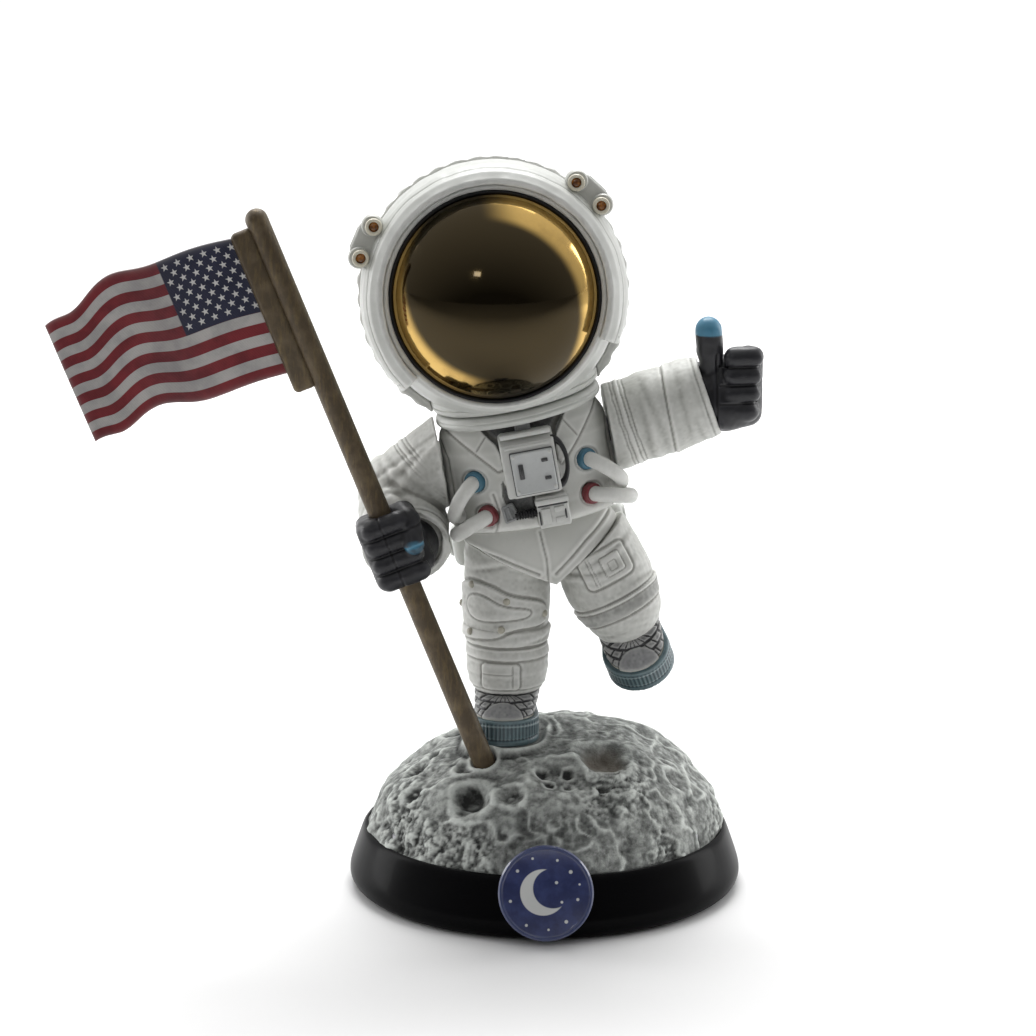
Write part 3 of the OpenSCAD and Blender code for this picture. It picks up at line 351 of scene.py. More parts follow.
def spun(profile, steps=160, closed=True):
    """The profile of (radius, height) points, spun round Z."""
    bm = bmesh.new()
    points = [bm.verts.new((r, 0, z)) for r, z in profile]
    after = points[1:] + points[:1] if closed else points[1:]
    edges = [bm.edges.new(pair) for pair in zip(points, after)]
    bmesh.ops.spin(bm, geom=points + edges, cent=(0, 0, 0), axis=(0, 0, 1), dvec=(0, 0, 0),
                   angle=math.tau, steps=steps, use_merge=True)
    bmesh.ops.remove_doubles(bm, verts=bm.verts, dist=1e-4)
    bmesh.ops.recalc_face_normals(bm, faces=bm.faces)
    return bm


def bent_tube(radius, segments, bend, degrees, steps, rise=0, start=0):
    """A round bar bent round Z at the radius bend. With a rise it is a coil."""
    bm = bmesh.new()
    ring = bmesh.ops.create_circle(bm, cap_ends=False, radius=radius, segments=segments)["verts"]
    bmesh.ops.rotate(bm, verts=ring, cent=(0, 0, 0), matrix=Matrix.Rotation(math.pi / 2, 3, "X"))
    bmesh.ops.translate(bm, verts=ring, vec=(bend, 0, 0))
    bmesh.ops.rotate(bm, verts=ring, cent=(0, 0, 0), matrix=Matrix.Rotation(math.radians(start), 3, "Z"))
    bmesh.ops.spin(bm, geom=bm.verts[:] + bm.edges[:], cent=(0, 0, 0), axis=(0, 0, 1),
                   dvec=(0, 0, rise / steps), angle=math.radians(degrees), steps=steps, use_merge=False)
    bmesh.ops.holes_fill(bm, edges=[e for e in bm.edges if e.is_boundary], sides=0)
    bmesh.ops.recalc_face_normals(bm, faces=bm.faces)
    return bm


def sink_front(bm, border, depth):
    """Sinks the face that looks to the front, inside a border."""
    front = max(bm.faces, key=lambda face: -face.calc_center_median().y)
    bmesh.ops.inset_region(bm, faces=[front], thickness=border, depth=-depth)


def rounded_box(size, centre=(0, 0, 0), radius=0.6, segments=3):
    bm = bmesh.new()
    bmesh.ops.create_cube(bm, size=1)
    bmesh.ops.scale(bm, vec=size, verts=bm.verts)
    bmesh.ops.bevel(bm, geom=bm.verts[:] + bm.edges[:], offset=radius, offset_type="OFFSET",
                    segments=segments, profile=0.5, affect="EDGES", material=-1)
    bmesh.ops.translate(bm, vec=centre, verts=bm.verts)
    return bm


def joined(parts):
    """Several separate meshes as one piece. Each part is a mesh with its own placing matrix."""
    whole = bmesh.new()
    for bm, place in parts:
        bm.transform(place)
        mesh = mesh_from("part", bm)
        whole.from_mesh(mesh)
        bpy.data.meshes.remove(mesh)
    return whole


def shift(x, y, z):
    return Matrix.Translation((x, y, z))


# ---- Materials
class Wire:
    """A number that runs through a material. Arithmetic on it adds Math nodes."""

    def __init__(self, paint, socket):
        self.paint = paint
        self.socket = socket

    def _maths(self, operation, a, b=None):
        return self.paint.node("ShaderNodeMath", {"operation": operation}, {0: a, 1: b})

    def __add__(self, other):
        return self._maths("ADD", self, other)

    __radd__ = __add__

    def __sub__(self, other):
        return self._maths("SUBTRACT", self, other)

    def __rsub__(self, other):
        return self._maths("SUBTRACT", other, self)

    def __mul__(self, other):
        return self._maths("MULTIPLY", self, other)

    __rmul__ = __mul__

    def __pow__(self, other):
        return self._maths("POWER", self, other)

    def over(self, other):
        return self._maths("GREATER_THAN", self, other)

    def most(self, other):
        return self._maths("MAXIMUM", self, other)

    def least(self, other):
        return self._maths("MINIMUM", self, other)

    def apply(self, operation, other=None):
        return self._maths(operation, self, other)


class Paint:
    """A material under construction, with one shader whose sockets are set or fed."""

    def __init__(self, name, **fixed):
        self.material = bpy.data.materials.new(name)
        self.material.use_nodes = True
        self.tree = self.material.node_tree
        self.tree.nodes.clear()
        output = self.tree.nodes.new("ShaderNodeOutputMaterial")
        self.shader = self.tree.nodes.new("ShaderNodeBsdfPrincipled")
        self.tree.links.new(self.shader.outputs[0], output.inputs[0])
        for socket, value in fixed.items():
            label = socket.replace("_", " ").title().replace("Ior", "IOR")
            self.shader.inputs[label].default_value = value

    def node(self, kind, settings=None, sockets=None, out=0):
        made = self.tree.nodes.new(kind)
        for setting, value in (settings or {}).items():
            setattr(made, setting, value)
        for socket, value in (sockets or {}).items():
            if isinstance(value, Wire):
                self.tree.links.new(value.socket, made.inputs[socket])
            elif value is not None:
                made.inputs[socket].default_value = value
        return Wire(self, made.outputs[out])

    def feed(self, **sockets):
        for socket, wire in sockets.items():
            self.tree.links.new(wire.socket, self.shader.inputs[socket.replace("_", " ").title()])
        return self.material

    def place(self):
        return self.node("ShaderNodeTexCoord", out="Object")

    def mark(self, name):
        return self.node("ShaderNodeAttribute", {"attribute_name": name}, out="Fac")

    def grain(self, size, detail=3, rough=0.55, stretch=None):
        """Noise from 0 to 1 with features of that size in mm."""
        where = self.place()
        if stretch:
            where = self.node("ShaderNodeVectorMath", {"operation": "MULTIPLY"}, {0: where, 1: stretch})
        return self.node("ShaderNodeTexNoise", None, {
            "Vector": where, "Scale": 1 / (size * MM), "Detail": detail, "Roughness": rough})

    def cells(self, size, feature="F1"):
        return self.node("ShaderNodeTexVoronoi", {"feature": feature}, {
            "Vector": self.place(), "Scale": 1 / (size * MM)}, out="Distance")

    def ramp(self, value, low, high, bottom=0.0, top=1.0):
        return self.node("ShaderNodeMapRange", {"interpolation_type": "SMOOTHSTEP"}, {
            "Value": value, "From Min": low, "From Max": high, "To Min": bottom, "To Max": top})

    def blend(self, factor, a, b, how="MIX"):
        return self.node("ShaderNodeMix", {"data_type": "RGBA", "blend_type": how}, {
            0: factor, 6: rgba(a), 7: rgba(b)}, out=2)

    def bump(self, height, depth, strength=1.0):
        """A relief of that depth in mm."""
        return self.node("ShaderNodeBump", None, {
            "Height": height, "Distance": depth * MM, "Strength": strength})


def rgba(colour):
    return colour if isinstance(colour, Wire) else (*colour, 1)


def suit_paint(name, base, shade, wash_and_shade, light, rough=0.46, wash_and_shade_strength=0.85):
    """Matt vinyl paint with a thin dark wash in the seams, painted shade in the hollows, and a
    dry-brushed edge.
    """
    paint = Paint(name, coat_weight=0.06, coat_roughness=0.35, specular_ior_level=0.4)
    cloud = paint.ramp(paint.grain(7, 2), 0.35, 0.7)
    freckle = paint.ramp(paint.grain(0.9, 4, 0.7), 0.62, 0.8)
    colour = paint.blend(cloud * 0.45, base, shade)
    colour = paint.blend(freckle * 0.14, colour, wash_and_shade)
    # darker in the hollows: a wash and painted shade
    wash_and_shade_amount = (paint.mark("wash_and_shade") * (0.7 + 0.6 * paint.grain(2.2, 3))).least(1) * wash_and_shade_strength
    colour = paint.blend(wash_and_shade_amount, colour, wash_and_shade)
    rubbed = paint.mark("edge") * (0.3 + 0.6 * paint.grain(1.3, 3))
    colour = paint.blend(rubbed.least(1), colour, light)
    grit = paint.grain(0.28, 2, 0.6) + 0.5 * paint.grain(1.6, 3, 0.6)
    return paint.feed(base_color=colour, roughness=rough + 0.12 * wash_and_shade_amount + 0.08 * cloud - 0.06 * rubbed,
                      normal=paint.bump(grit, 0.03, 0.55))


SUIT_BASE = (0.515, 0.52, 0.488)
SUIT_SHADE = (0.455, 0.46, 0.435)
SUIT_WORN = (0.76, 0.76, 0.73)
suit_white = suit_paint("suit_white", SUIT_BASE, SUIT_SHADE, (0.17, 0.165, 0.145), SUIT_WORN,
                        wash_and_shade_strength=0.6)
helmet_white = suit_paint("helmet_white", (0.55, 0.56, 0.53), (0.48, 0.49, 0.465),
                          (0.18, 0.18, 0.16), (0.78, 0.78, 0.75), rough=0.36, wash_and_shade_strength=0.6)


def box_paint(name, base, rough=0.34):
    """Satin paint over small crisp mouldings, with darker smudges and specks."""
    paint = Paint(name, coat_weight=0.15, coat_roughness=0.25)
    smudge = paint.ramp(paint.grain(3.2, 4), 0.4, 0.75)
    worn = paint.ramp(paint.grain(0.7, 4, 0.7), 0.55, 0.75)
    dark = tuple(0.45 * part for part in base)
    colour = paint.blend(smudge * 0.3, base, tuple(0.8 * part for part in base))
    colour = paint.blend(worn * 0.16, colour, dark)
    return paint.feed(base_color=colour, roughness=rough + 0.16 * smudge,
                      normal=paint.bump(paint.grain(0.35, 3), 0.02, 0.5))


box_white = box_paint("box_white", (0.58, 0.585, 0.56))
panel_grey = box_paint("panel_grey", (0.50, 0.515, 0.51))
slot_black = box_paint("slot_black", (0.05, 0.05, 0.052))
lamp_grey = box_paint("lamp_grey", (0.54, 0.545, 0.51), rough=0.42)
bezel_cream = box_paint("bezel_cream", (0.68, 0.64, 0.52))
collar_blue = box_paint("collar_blue", (0.045, 0.15, 0.22), rough=0.3)
collar_red = box_paint("collar_red", (0.17, 0.022, 0.028), rough=0.3)
peg_grey = box_paint("peg_grey", (0.16, 0.165, 0.17), rough=0.4)


def moon_paint():
    """Dry-brushed plaster rock: dark in the pits, from a wash and painted shade, pale grey-green on the
    ridges.
    """
    paint = Paint("moon_grey", specular_ior_level=0.25)
    patch = paint.ramp(paint.grain(9, 4, 0.6), 0.38, 0.66)
    mottle = paint.ramp(paint.grain(2.4, 5, 0.68), 0.42, 0.66)
    speck = paint.ramp(paint.grain(0.55, 4, 0.75), 0.60, 0.72)
    wash_and_shade = paint.mark("wash_and_shade")
    edge = paint.mark("edge")
    colour = paint.blend(patch, (0.19, 0.20, 0.19), (0.40, 0.415, 0.395))
    fine = paint.ramp(paint.grain(1.0, 5, 0.75), 0.44, 0.62)
    colour = paint.blend(mottle * 0.45, colour, (0.13, 0.135, 0.13))
    colour = paint.blend(fine * 0.5, colour, (0.10, 0.104, 0.10))
    # the pits go nearly black: a wash and painted shade
    colour = paint.blend((wash_and_shade * (0.8 + 0.5 * mottle)).least(1), colour, (0.032, 0.033, 0.032))
    brush = (edge * (0.55 + 0.9 * paint.grain(0.8, 4, 0.7))).least(1)
    colour = paint.blend(brush, colour, (0.66, 0.69, 0.655))
    colour = paint.blend(speck * 0.4, colour, (0.05, 0.05, 0.05))
    colour = paint.blend(paint.mark("silt") * 0.7, colour, (0.19, 0.165, 0.135))
    pits = paint.ramp(paint.grain(0.5, 5, 0.7), 0.3, 0.7) + paint.ramp(paint.cells(1.5), 0.0, 0.5)
    return paint.feed(base_color=colour, roughness=0.86 - 0.12 * edge, normal=paint.bump(pits, 0.16, 0.8))


moon_grey = moon_paint()


def plinth_paint():
    """Gloss black lacquer with a little dust."""
    paint = Paint("plinth_black", coat_weight=0.03, coat_roughness=0.1, specular_ior_level=0.03)
    dust = paint.ramp(paint.grain(0.35, 4, 0.8), 0.66, 0.82)
    haze = paint.grain(12, 3)
    colour = paint.blend(dust * 0.25, (0.0028, 0.0028, 0.0032), (0.05, 0.05, 0.052))
    return paint.feed(base_color=colour, roughness=0.24 + 0.16 * haze + 0.2 * dust,
                      normal=paint.bump(paint.grain(1.8, 2), 0.012, 0.6))


plinth_black = plinth_paint()


def gold_paint():
    """Gold metal coloured with a painted reflection: dark brown over most of it for the dim room in
    front, gold on crescents near its rim for the side softboxes, with faint ripples.
    """
    paint = Paint("visor_gold", metallic=1.0, coat_weight=0.25, coat_roughness=0.02)
    ripple = paint.grain(11, 3, 0.5)
    smear = paint.ramp(paint.grain(5, 5, 0.6), 0.45, 0.75)
    gold = paint.blend(smear * 0.4, (0.66, 0.43, 0.13), (0.40, 0.25, 0.08))
    # painted reflection: dark brown where the dim front would be mirrored, gold where the side softboxes
    # would be
    colour = paint.blend(paint.mark("rim"), (0.046, 0.033, 0.014), gold)
    return paint.feed(base_color=colour, roughness=0.07 + 0.1 * smear,
                      normal=paint.bump(ripple, 0.12, 0.5))


visor_gold = gold_paint()


def rubber_paint(name, base, rough, size=0.5, depth=0.03, shine=0.35):
    paint = Paint(name, specular_ior_level=shine)
    scuff = paint.ramp(paint.grain(2.6, 5, 0.65), 0.5, 0.8)
    pale = tuple(min(1, part * 2.4 + 0.03) for part in base)
    colour = paint.blend(scuff * 0.35, base, pale)
    return paint.feed(base_color=colour, roughness=rough + 0.18 * scuff,
                      normal=paint.bump(paint.grain(size, 3, 0.6), depth, 0.7))


hose_black = rubber_paint("hose_black", (0.012, 0.012, 0.013), 0.36)
foam_black = rubber_paint("foam_black", (0.02, 0.02, 0.02), 0.85, 0.3, 0.12)
gasket_black = rubber_paint("gasket_black", (0.008, 0.008, 0.009), 0.42)


def glove_paint():
    """Blue-black satin paint, paler on its edges as rubbed knuckles and a painted highlight, darker in
    its hollows as a wash and painted shade, with a blue fingertip.
    """
    paint = Paint("glove_black", coat_weight=0.12, coat_roughness=0.28, specular_ior_level=0.35)
    cloud = paint.ramp(paint.grain(4, 4, 0.6), 0.4, 0.75)
    colour = paint.blend(cloud * 0.6, (0.008, 0.008, 0.010), (0.015, 0.015, 0.018))
    # paler edges: rubbed wear and a painted highlight
    colour = paint.blend(paint.mark("edge") * 0.4, colour, (0.06, 0.06, 0.07))
    # darker hollows: a wash and painted shade
    colour = paint.blend(paint.mark("wash_and_shade") * 0.8, colour, (0.003, 0.003, 0.004))
    colour = paint.blend(paint.mark("tip"), colour, (0.07, 0.22, 0.33))
    return paint.feed(base_color=colour, roughness=0.36 + 0.16 * cloud,
                      normal=paint.bump(paint.grain(0.45, 4, 0.6), 0.035, 0.6))


glove_black = glove_paint()


def boot_paint():
    """Gunmetal upper with pale painted straps and a cream strip over the sole."""
    paint = Paint("boot_grey", coat_weight=0.12, coat_roughness=0.3)
    patch = paint.ramp(paint.grain(2.2, 4, 0.6), 0.4, 0.7)
    colour = paint.blend(patch, (0.022, 0.023, 0.026), (0.06, 0.062, 0.066))
    colour = paint.blend(paint.mark("strap"), colour, (0.24, 0.243, 0.247))
    colour = paint.blend(paint.mark("welt"), colour, (0.55, 0.53, 0.44))
    # darker hollows: a wash and painted shade
    colour = paint.blend(paint.mark("wash_and_shade"), colour, (0.008, 0.008, 0.009))
    colour = paint.blend(paint.mark("edge") * 0.5, colour, (0.62, 0.62, 0.60))
    return paint.feed(base_color=colour, roughness=0.34 + 0.2 * patch,
                      normal=paint.bump(paint.grain(0.5, 3), 0.03, 0.6))


boot_grey = boot_paint()


def sole_paint():
    """Teal rubber paint over fine ribs, rubbed pale on their crests."""
    paint = Paint("sole_teal", coat_weight=0.2, coat_roughness=0.28)
    patch = paint.ramp(paint.grain(2.6, 5, 0.6), 0.38, 0.72)
    colour = paint.blend(patch, (0.024, 0.056, 0.07), (0.055, 0.11, 0.125))
    colour = paint.blend(paint.mark("line"), colour, (0.40, 0.47, 0.48))
    # darker hollows: a wash and painted shade
    colour = paint.blend(paint.mark("wash_and_shade") * 0.9, colour, (0.012, 0.024, 0.03))
    colour = paint.blend(paint.mark("edge") * 0.4, colour, (0.30, 0.39, 0.41))
    return paint.feed(base_color=colour, roughness=0.36 + 0.2 * patch,
                      normal=paint.bump(paint.grain(0.4, 3), 0.03, 0.6))


sole_teal = sole_paint()


def bronze_paint():
    """Dark bronze with a gold dry brush dragged along it."""
    paint = Paint("pole_bronze", coat_weight=0.1, coat_roughness=0.35)
    drag = paint.ramp(paint.grain(0.8, 5, 0.7, stretch=(1, 1, 0.16)), 0.45, 0.72)
    patch = paint.ramp(paint.grain(4.5, 4, 0.6), 0.4, 0.7)
    chip = paint.ramp(paint.grain(0.7, 4, 0.7), 0.63, 0.72)
    colour = paint.blend(patch, (0.070, 0.048, 0.024), (0.115, 0.083, 0.045))
    colour = paint.blend(drag * 0.35, colour, (0.27, 0.20, 0.095))
    colour = paint.blend(chip * 0.5, colour, (0.028, 0.02, 0.012))
    colour = paint.blend((paint.mark("edge") * 1.2).least(1), colour, (0.46, 0.34, 0.17))
    # darker hollows: a wash and painted shade
    colour = paint.blend(paint.mark("wash_and_shade") * 0.8, colour, (0.016, 0.012, 0.008))
    return paint.feed(base_color=colour, roughness=0.5 - 0.12 * drag, metallic=0.25 + 0.4 * drag,
                      normal=paint.bump(drag + 0.6 * patch, 0.08, 0.7))


pole_bronze = bronze_paint()


def flag_paint():
    """Thirteen stripes and a starred corner at the pole, as paint over moulded cloth, with painted shade
    in the troughs of its waves and a painted highlight on their crests.
    """
    paint = Paint("flag_print", specular_ior_level=0.35)
    uv = paint.node("ShaderNodeUVMap", {"uv_map": "cloth"})
    split = paint.tree.nodes.new("ShaderNodeSeparateXYZ")
    paint.tree.links.new(uv.socket, split.inputs[0])
    along = Wire(paint, split.outputs[0])
    up = Wire(paint, split.outputs[1])
    stripe = (up * 6.5).apply("FRACT")
    white_stripe = paint.ramp(stripe, 0.485, 0.515) * (1 - paint.ramp(stripe, 0.985, 1.0))
    canton = (1 - paint.ramp(along, 0.395, 0.402)) * paint.ramp(up, 0.457, 0.465)
    # rows of five-pointed stars, six and five in turn
    column = along * (12 / CANTON_LEN)
    row = (up - (1 - CANTON_H)) * (10 / CANTON_H)
    near_column = column.apply("ROUND")
    near_row = row.apply("ROUND")
    odd = ((near_column + near_row) * 0.5).apply("FRACT").over(0.25)
    field = near_column.over(0.5) * (11.5 - near_column).over(0) * near_row.over(0.5)
    field = field * (9.5 - near_row).over(0) * (1 - odd)
    across = (column - near_column) * (CANTON_LEN / 12 * FLAG_LEN)
    rise = (row - near_row) * (CANTON_H / 10 * FLAG_H)
    angle = across.apply("ARCTAN2", rise)
    far = (across * across + rise * rise) ** 0.5
    fold = angle.apply("PINGPONG", math.radians(36))
    point = far * (fold.apply("SINE") * 0.951 + fold.apply("COSINE") * 0.309)
    star = (1 - paint.ramp(point, 0.25, 0.33)) * field
    cloud = paint.ramp(paint.grain(5, 4, 0.6), 0.35, 0.7)
    red = paint.blend(cloud, (0.19, 0.016, 0.022), (0.125, 0.011, 0.016))
    white = paint.blend(cloud, (0.45, 0.43, 0.415), (0.34, 0.33, 0.325))
    navy = paint.blend(cloud, (0.012, 0.014, 0.036), (0.02, 0.022, 0.05))
    colour = paint.blend(white_stripe, red, white)
    colour = paint.blend(canton, colour, navy)
    colour = paint.blend(star * canton, colour, (0.56, 0.55, 0.54))
    scuff = paint.ramp(paint.grain(0.6, 4, 0.75), 0.6, 0.75)
    colour = paint.blend(scuff * 0.22, colour, (0.05, 0.04, 0.04))
    # painted shade in the troughs of the waves
    colour = paint.blend(paint.mark("wash_and_shade") * 0.55, colour, (0.03, 0.02, 0.025))
    # painted highlight on the crests of the waves
    colour = paint.blend(paint.mark("edge") * 0.3, colour, (0.75, 0.72, 0.70))
    weave = paint.node("ShaderNodeTexWave", {"wave_type": "BANDS", "bands_direction": "DIAGONAL"}, {
        "Vector": paint.place(), "Scale": 900, "Distortion": 3.0, "Detail": 2})
    return paint.feed(base_color=colour, roughness=0.46 + 0.2 * cloud,
                      normal=paint.bump(weave + paint.grain(0.5, 3), 0.03, 0.5))


flag_print = flag_paint()


def badge_paint():
    """Deep blue gloss with a pale rim, a crescent moon and a scatter of dots."""
    paint = Paint("badge_navy", coat_weight=0.9, coat_roughness=0.06)
    uv = paint.node("ShaderNodeUVMap", {"uv_map": "face"})

    def disc(x, y, radius, soft=0.12):
        gap = paint.node("ShaderNodeVectorMath", {"operation": "DISTANCE"}, {0: uv, 1: (x, y, 0)}, out=1)
        return 1 - paint.ramp(gap, radius - soft, radius + soft)

    cloud = paint.ramp(paint.grain(3.5, 5, 0.65), 0.35, 0.7)
    colour = paint.blend(cloud, (0.010, 0.018, 0.085), (0.022, 0.036, 0.14))
    crescent = disc(-0.6, 0.2, 5.2) * (1 - disc(1.6, 1.1, 4.5))
    dots = crescent * 0
    for x, y, radius in ((5.6, 4.8, 0.42), (-6.4, 5.0, 0.36), (7.2, -1.4, 0.34), (2.6, 7.4, 0.3),
                         (-3.0, 7.8, 0.28), (-8.0, -1.8, 0.34), (4.6, -6.4, 0.4), (-4.4, -7.2, 0.32),
                         (2.4, 2.4, 0.36), (0.6, -8.2, 0.26), (7.6, 2.0, 0.24), (3.6, -2.0, 0.3)):
        dots = dots.most(disc(x, y, radius, 0.1))
    rim = (1 - disc(0, 0, 10.0)) * 0.75
    colour = paint.blend(crescent.most(dots), colour, (0.60, 0.61, 0.60))
    colour = paint.blend(rim, colour, (0.045, 0.06, 0.15))
    return paint.feed(base_color=colour, roughness=0.28 + 0.14 * cloud,
                      normal=paint.bump(crescent + paint.grain(1.2, 3) * 0.1, 0.08, 0.6))


badge_navy = badge_paint()


def lens_paint():
    paint = Paint("lens_amber", coat_weight=1.0, coat_roughness=0.02, ior=1.5)
    glow = paint.ramp(paint.grain(1.1, 3), 0.3, 0.75)
    colour = paint.blend(glow, (0.11, 0.035, 0.006), (0.46, 0.17, 0.02))
    return paint.feed(base_color=colour, roughness=0.16 + 0.1 * glow,
                      normal=paint.bump(paint.cells(0.5), 0.04, 0.6))


lens_amber = lens_paint()


def steel_paint():
    paint = Paint("screw_steel", metallic=1.0)
    worn = paint.ramp(paint.grain(0.6, 4), 0.4, 0.7)
    colour = paint.blend(worn, (0.48, 0.48, 0.5), (0.32, 0.32, 0.34))
    return paint.feed(base_color=colour, roughness=0.28 + 0.2 * worn,
                      normal=paint.bump(paint.grain(0.2, 2), 0.01, 0.5))


screw_steel = steel_paint()
rivet_brass = box_paint("rivet_brass", (0.42, 0.40, 0.33), rough=0.36)


# ---- Plinth and moonscape
def make_plinth():
    profile = [(39, 0.3), (PLINTH_FOOT_R, 0.3), (PLINTH_R - 0.9, 1.3), (PLINTH_R - 0.2, 2.5),
               (PLINTH_R, BELLY_Z), (PLINTH_R - 0.3, BELLY_Z + 2), (RIM_R + 0.5, PLINTH_H - 1.2),
               (RIM_R, PLINTH_H - 0.4), (RIM_R - 0.4, PLINTH_H), (MOON_R + 0.3, PLINTH_H),
               (MOON_R + 0.3, SEAT_Z), (36.7, SEAT_Z), (36.7, 10), (40.1, 10), (41.4, 5.8), (40.8, 3.8)]
    bm = spun(rounded(profile), steps=224)
    piece("plinth_ring", ROW, bm, "stand", "plinth_black", plinth_black, "plinth")


# craters as (angle round the plinth, radius from its axis, crater radius, depth)
CRATERS = ((-50, 21.5, 6.4, 3.3), (-122, 32.5, 5.2, 2.6), (-105, 31, 3.4, 1.5), (-84, 25, 6.4, 1.3),
           (-20, 33, 3.8, 1.1), (35, 27, 5.2, 1.9), (80, 24, 6.2, 2.2), (120, 32, 4.4, 1.6),
           (160, 22, 4.8, 1.7), (195, 31, 3.6, 1.3), (62, 36, 2.8, 1.0), (140, 14, 3.2, 1.1),
           (-150, 35, 2.8, 0.9), (-88, 27, 1.7, 0.7), (-92, 23.6, 1.9, 0.8), (-79, 28, 1.5, 0.6),
           (-77, 24, 1.8, 0.7), (-132, 23, 2.4, 0.7), (10, 35, 2.2, 0.8), (225, 26, 2.8, 1.0),
           (100, 37, 2.4, 0.8), (-170, 27, 2.6, 0.9), (-64, 30, 2.0, 0.6))


def moon_skin_z(r):
    return SEAT_Z + MOON_H * math.sqrt(max(0, 1 - (r / MOON_R) ** 2.3))


def make_moon():
    rings = 150
    arc = [(MOON_R * math.sin(math.pi / 2 * k / rings) ** 0.92) for k in range(rings, -1, -1)]
    profile = [(0, SEAT_Z + 0.05), (MOON_R - 0.1, SEAT_Z + 0.05)]
    profile += [(r, moon_skin_z(r) + 0.1) for r in arc[1:-1]] + [(0, moon_skin_z(0))]
    skin = skin_from("moonscape", ROW, spun(profile, steps=520, closed=False))
    at = skin.at
    side = eased(at[:, 2], SEAT_Z + 0.3, SEAT_Z + 2.5)
    x, y = skin.xyz[:2]
    boot = BOOT_R.inverted()
    bx, by = (at @ np.array(boot)[:2, :3].T + np.array(boot.translation)[:2] / MM).T
    tread = inside_box(bx, by, (0, -2.9), (BOOT_W / 2 + 0.6, BOOT_LEN / 2 + 0.6), 7.6)
    under_boot = eased(tread, -2.6, 0.1)
    pole_foot = np.array(POLE.translation) / MM
    pole_axis = np.array(POLE.to_3x3().col[2])
    along = (at - pole_foot) @ pole_axis
    away = np.linalg.norm(at - pole_foot - along[:, None] * pole_axis, axis=1)
    near_pole = 1 - eased(away, 3.0, 7.0)
    calm = (1 - under_boot) * (1 - 0.7 * near_pole) * side
    # broad swells and slumped ridges, then the craters, then rubble
    skin.push(calm * (1.0 * lumps(at, 11, 3, 2) + 0.36 * lumps(at * [1, 1, 1.2], 4.6, 9, 2)))
    plain = np.ones(len(at))
    bowls = np.zeros(len(at))
    silt = np.zeros(len(at))
    for degrees, r, size, depth in CRATERS:
        a = math.radians(degrees)
        spot = np.array([r * math.cos(a), r * math.sin(a), moon_skin_z(r)])
        wobble = 1 + 0.13 * lumps(at + spot, size * 0.9, 21, 2)
        d = np.linalg.norm(skin.at - spot, axis=1) / (size * wobble)
        bowl = -depth * (1 - eased(d, 0.25, 1.0))
        lip = 0.15 * depth * np.exp(-(((d - 1.12) / 0.26) ** 2))
        bowls += bowl + lip
        plain *= 1 - (size > 3) * (1 - eased(d, 0.85, 1.2))
        silt = np.maximum(silt, (1 - eased(d, 0.5, 1.0)) * (depth > 3))
    skin.push(calm * bowls)
    ridge = 1 - np.abs(lumps(at * [1, 1, 1.3], 7.5, 13, 2))
    skin.push(calm * plain * 0.9 * np.maximum(ridge - 0.45, 0) ** 1.5)
    rough = eased(lumps(at, 13, 41), -0.1, 0.6) * eased(np.hypot(x, y), 20, 34)
    rubble = 0.22 * lumps(at, 2.0, 31, 2) + 0.3 * np.abs(lumps(at, 3.2, 51, 2))
    skin.push(calm * (0.3 + 0.8 * rough) * (0.3 + 0.7 * plain) * rubble)
    small = lumps(at, 0.85, 61, 2)
    skin.push(calm * (0.035 + 0.09 * rough) * small * (1 - 0.8 * silt))
    pocks = np.minimum(lumps(at, 1.6, 71, 2) + 0.45, 0)
    skin.push(calm * (0.08 + 0.9 * rough) * 0.5 * pocks)
    # the boot's flat, with a low bank of dust round it
    skin.at[:, 2] += (SOLE_Z - 0.05 - skin.at[:, 2]) * under_boot
    skin.at[:, 2] += 0.5 * np.exp(-(((tread + 1.0) / 0.8) ** 2)) * (1 - near_pole)
    # the socket that the pole stands in
    rim = np.exp(-(((away - 3.5) / 0.7) ** 2)) * (along < 0)
    skin.at[:, 2] += 0.35 * rim
    socket = (1 - eased(away, 2.7, 2.95)) * (along < 0)
    skin.at -= np.outer(socket * 5.5, pole_axis)
    skin.stain_and_shade(fine=0.09, broad=0.5)
    skin.marks["silt"] = silt
    skin.finish("stand", "moon_grey", moon_grey, "moon_surface")


def make_badge():
    profile = [(0, -0.6), (6.4, -0.6), (6.4, 0), (10.5, 0), (10.8, 0.3), (10.8, 1.75), (10.45, 2.15),
               (10.05, 2.2), (9.85, 1.95), (9.6, 1.85), (0, 1.95)]
    bm = spun(profile, steps=128, closed=False)
    layer = bm.loops.layers.uv.new("face")
    for face in bm.faces:
        for loop in face.loops:
            loop[layer].uv = (loop.vert.co.x, loop.vert.co.y)
    piece("badge_disc", BADGE, bm, "stand", "badge_navy", badge_navy, "badge")


# ---- Boots and legs
def boot_fields(skin):
    x, y, z = skin.xyz
    toe_y = -(BOOT_LEN * 0.62 - BOOT_W / 2)
    round_toe = np.arctan2(x, -(y - toe_y)) * BOOT_W / 2
    around = np.where(y < toe_y, round_toe, np.sign(x) * (BOOT_W * 0.785 + (y - toe_y)))
    return x, y, z, around


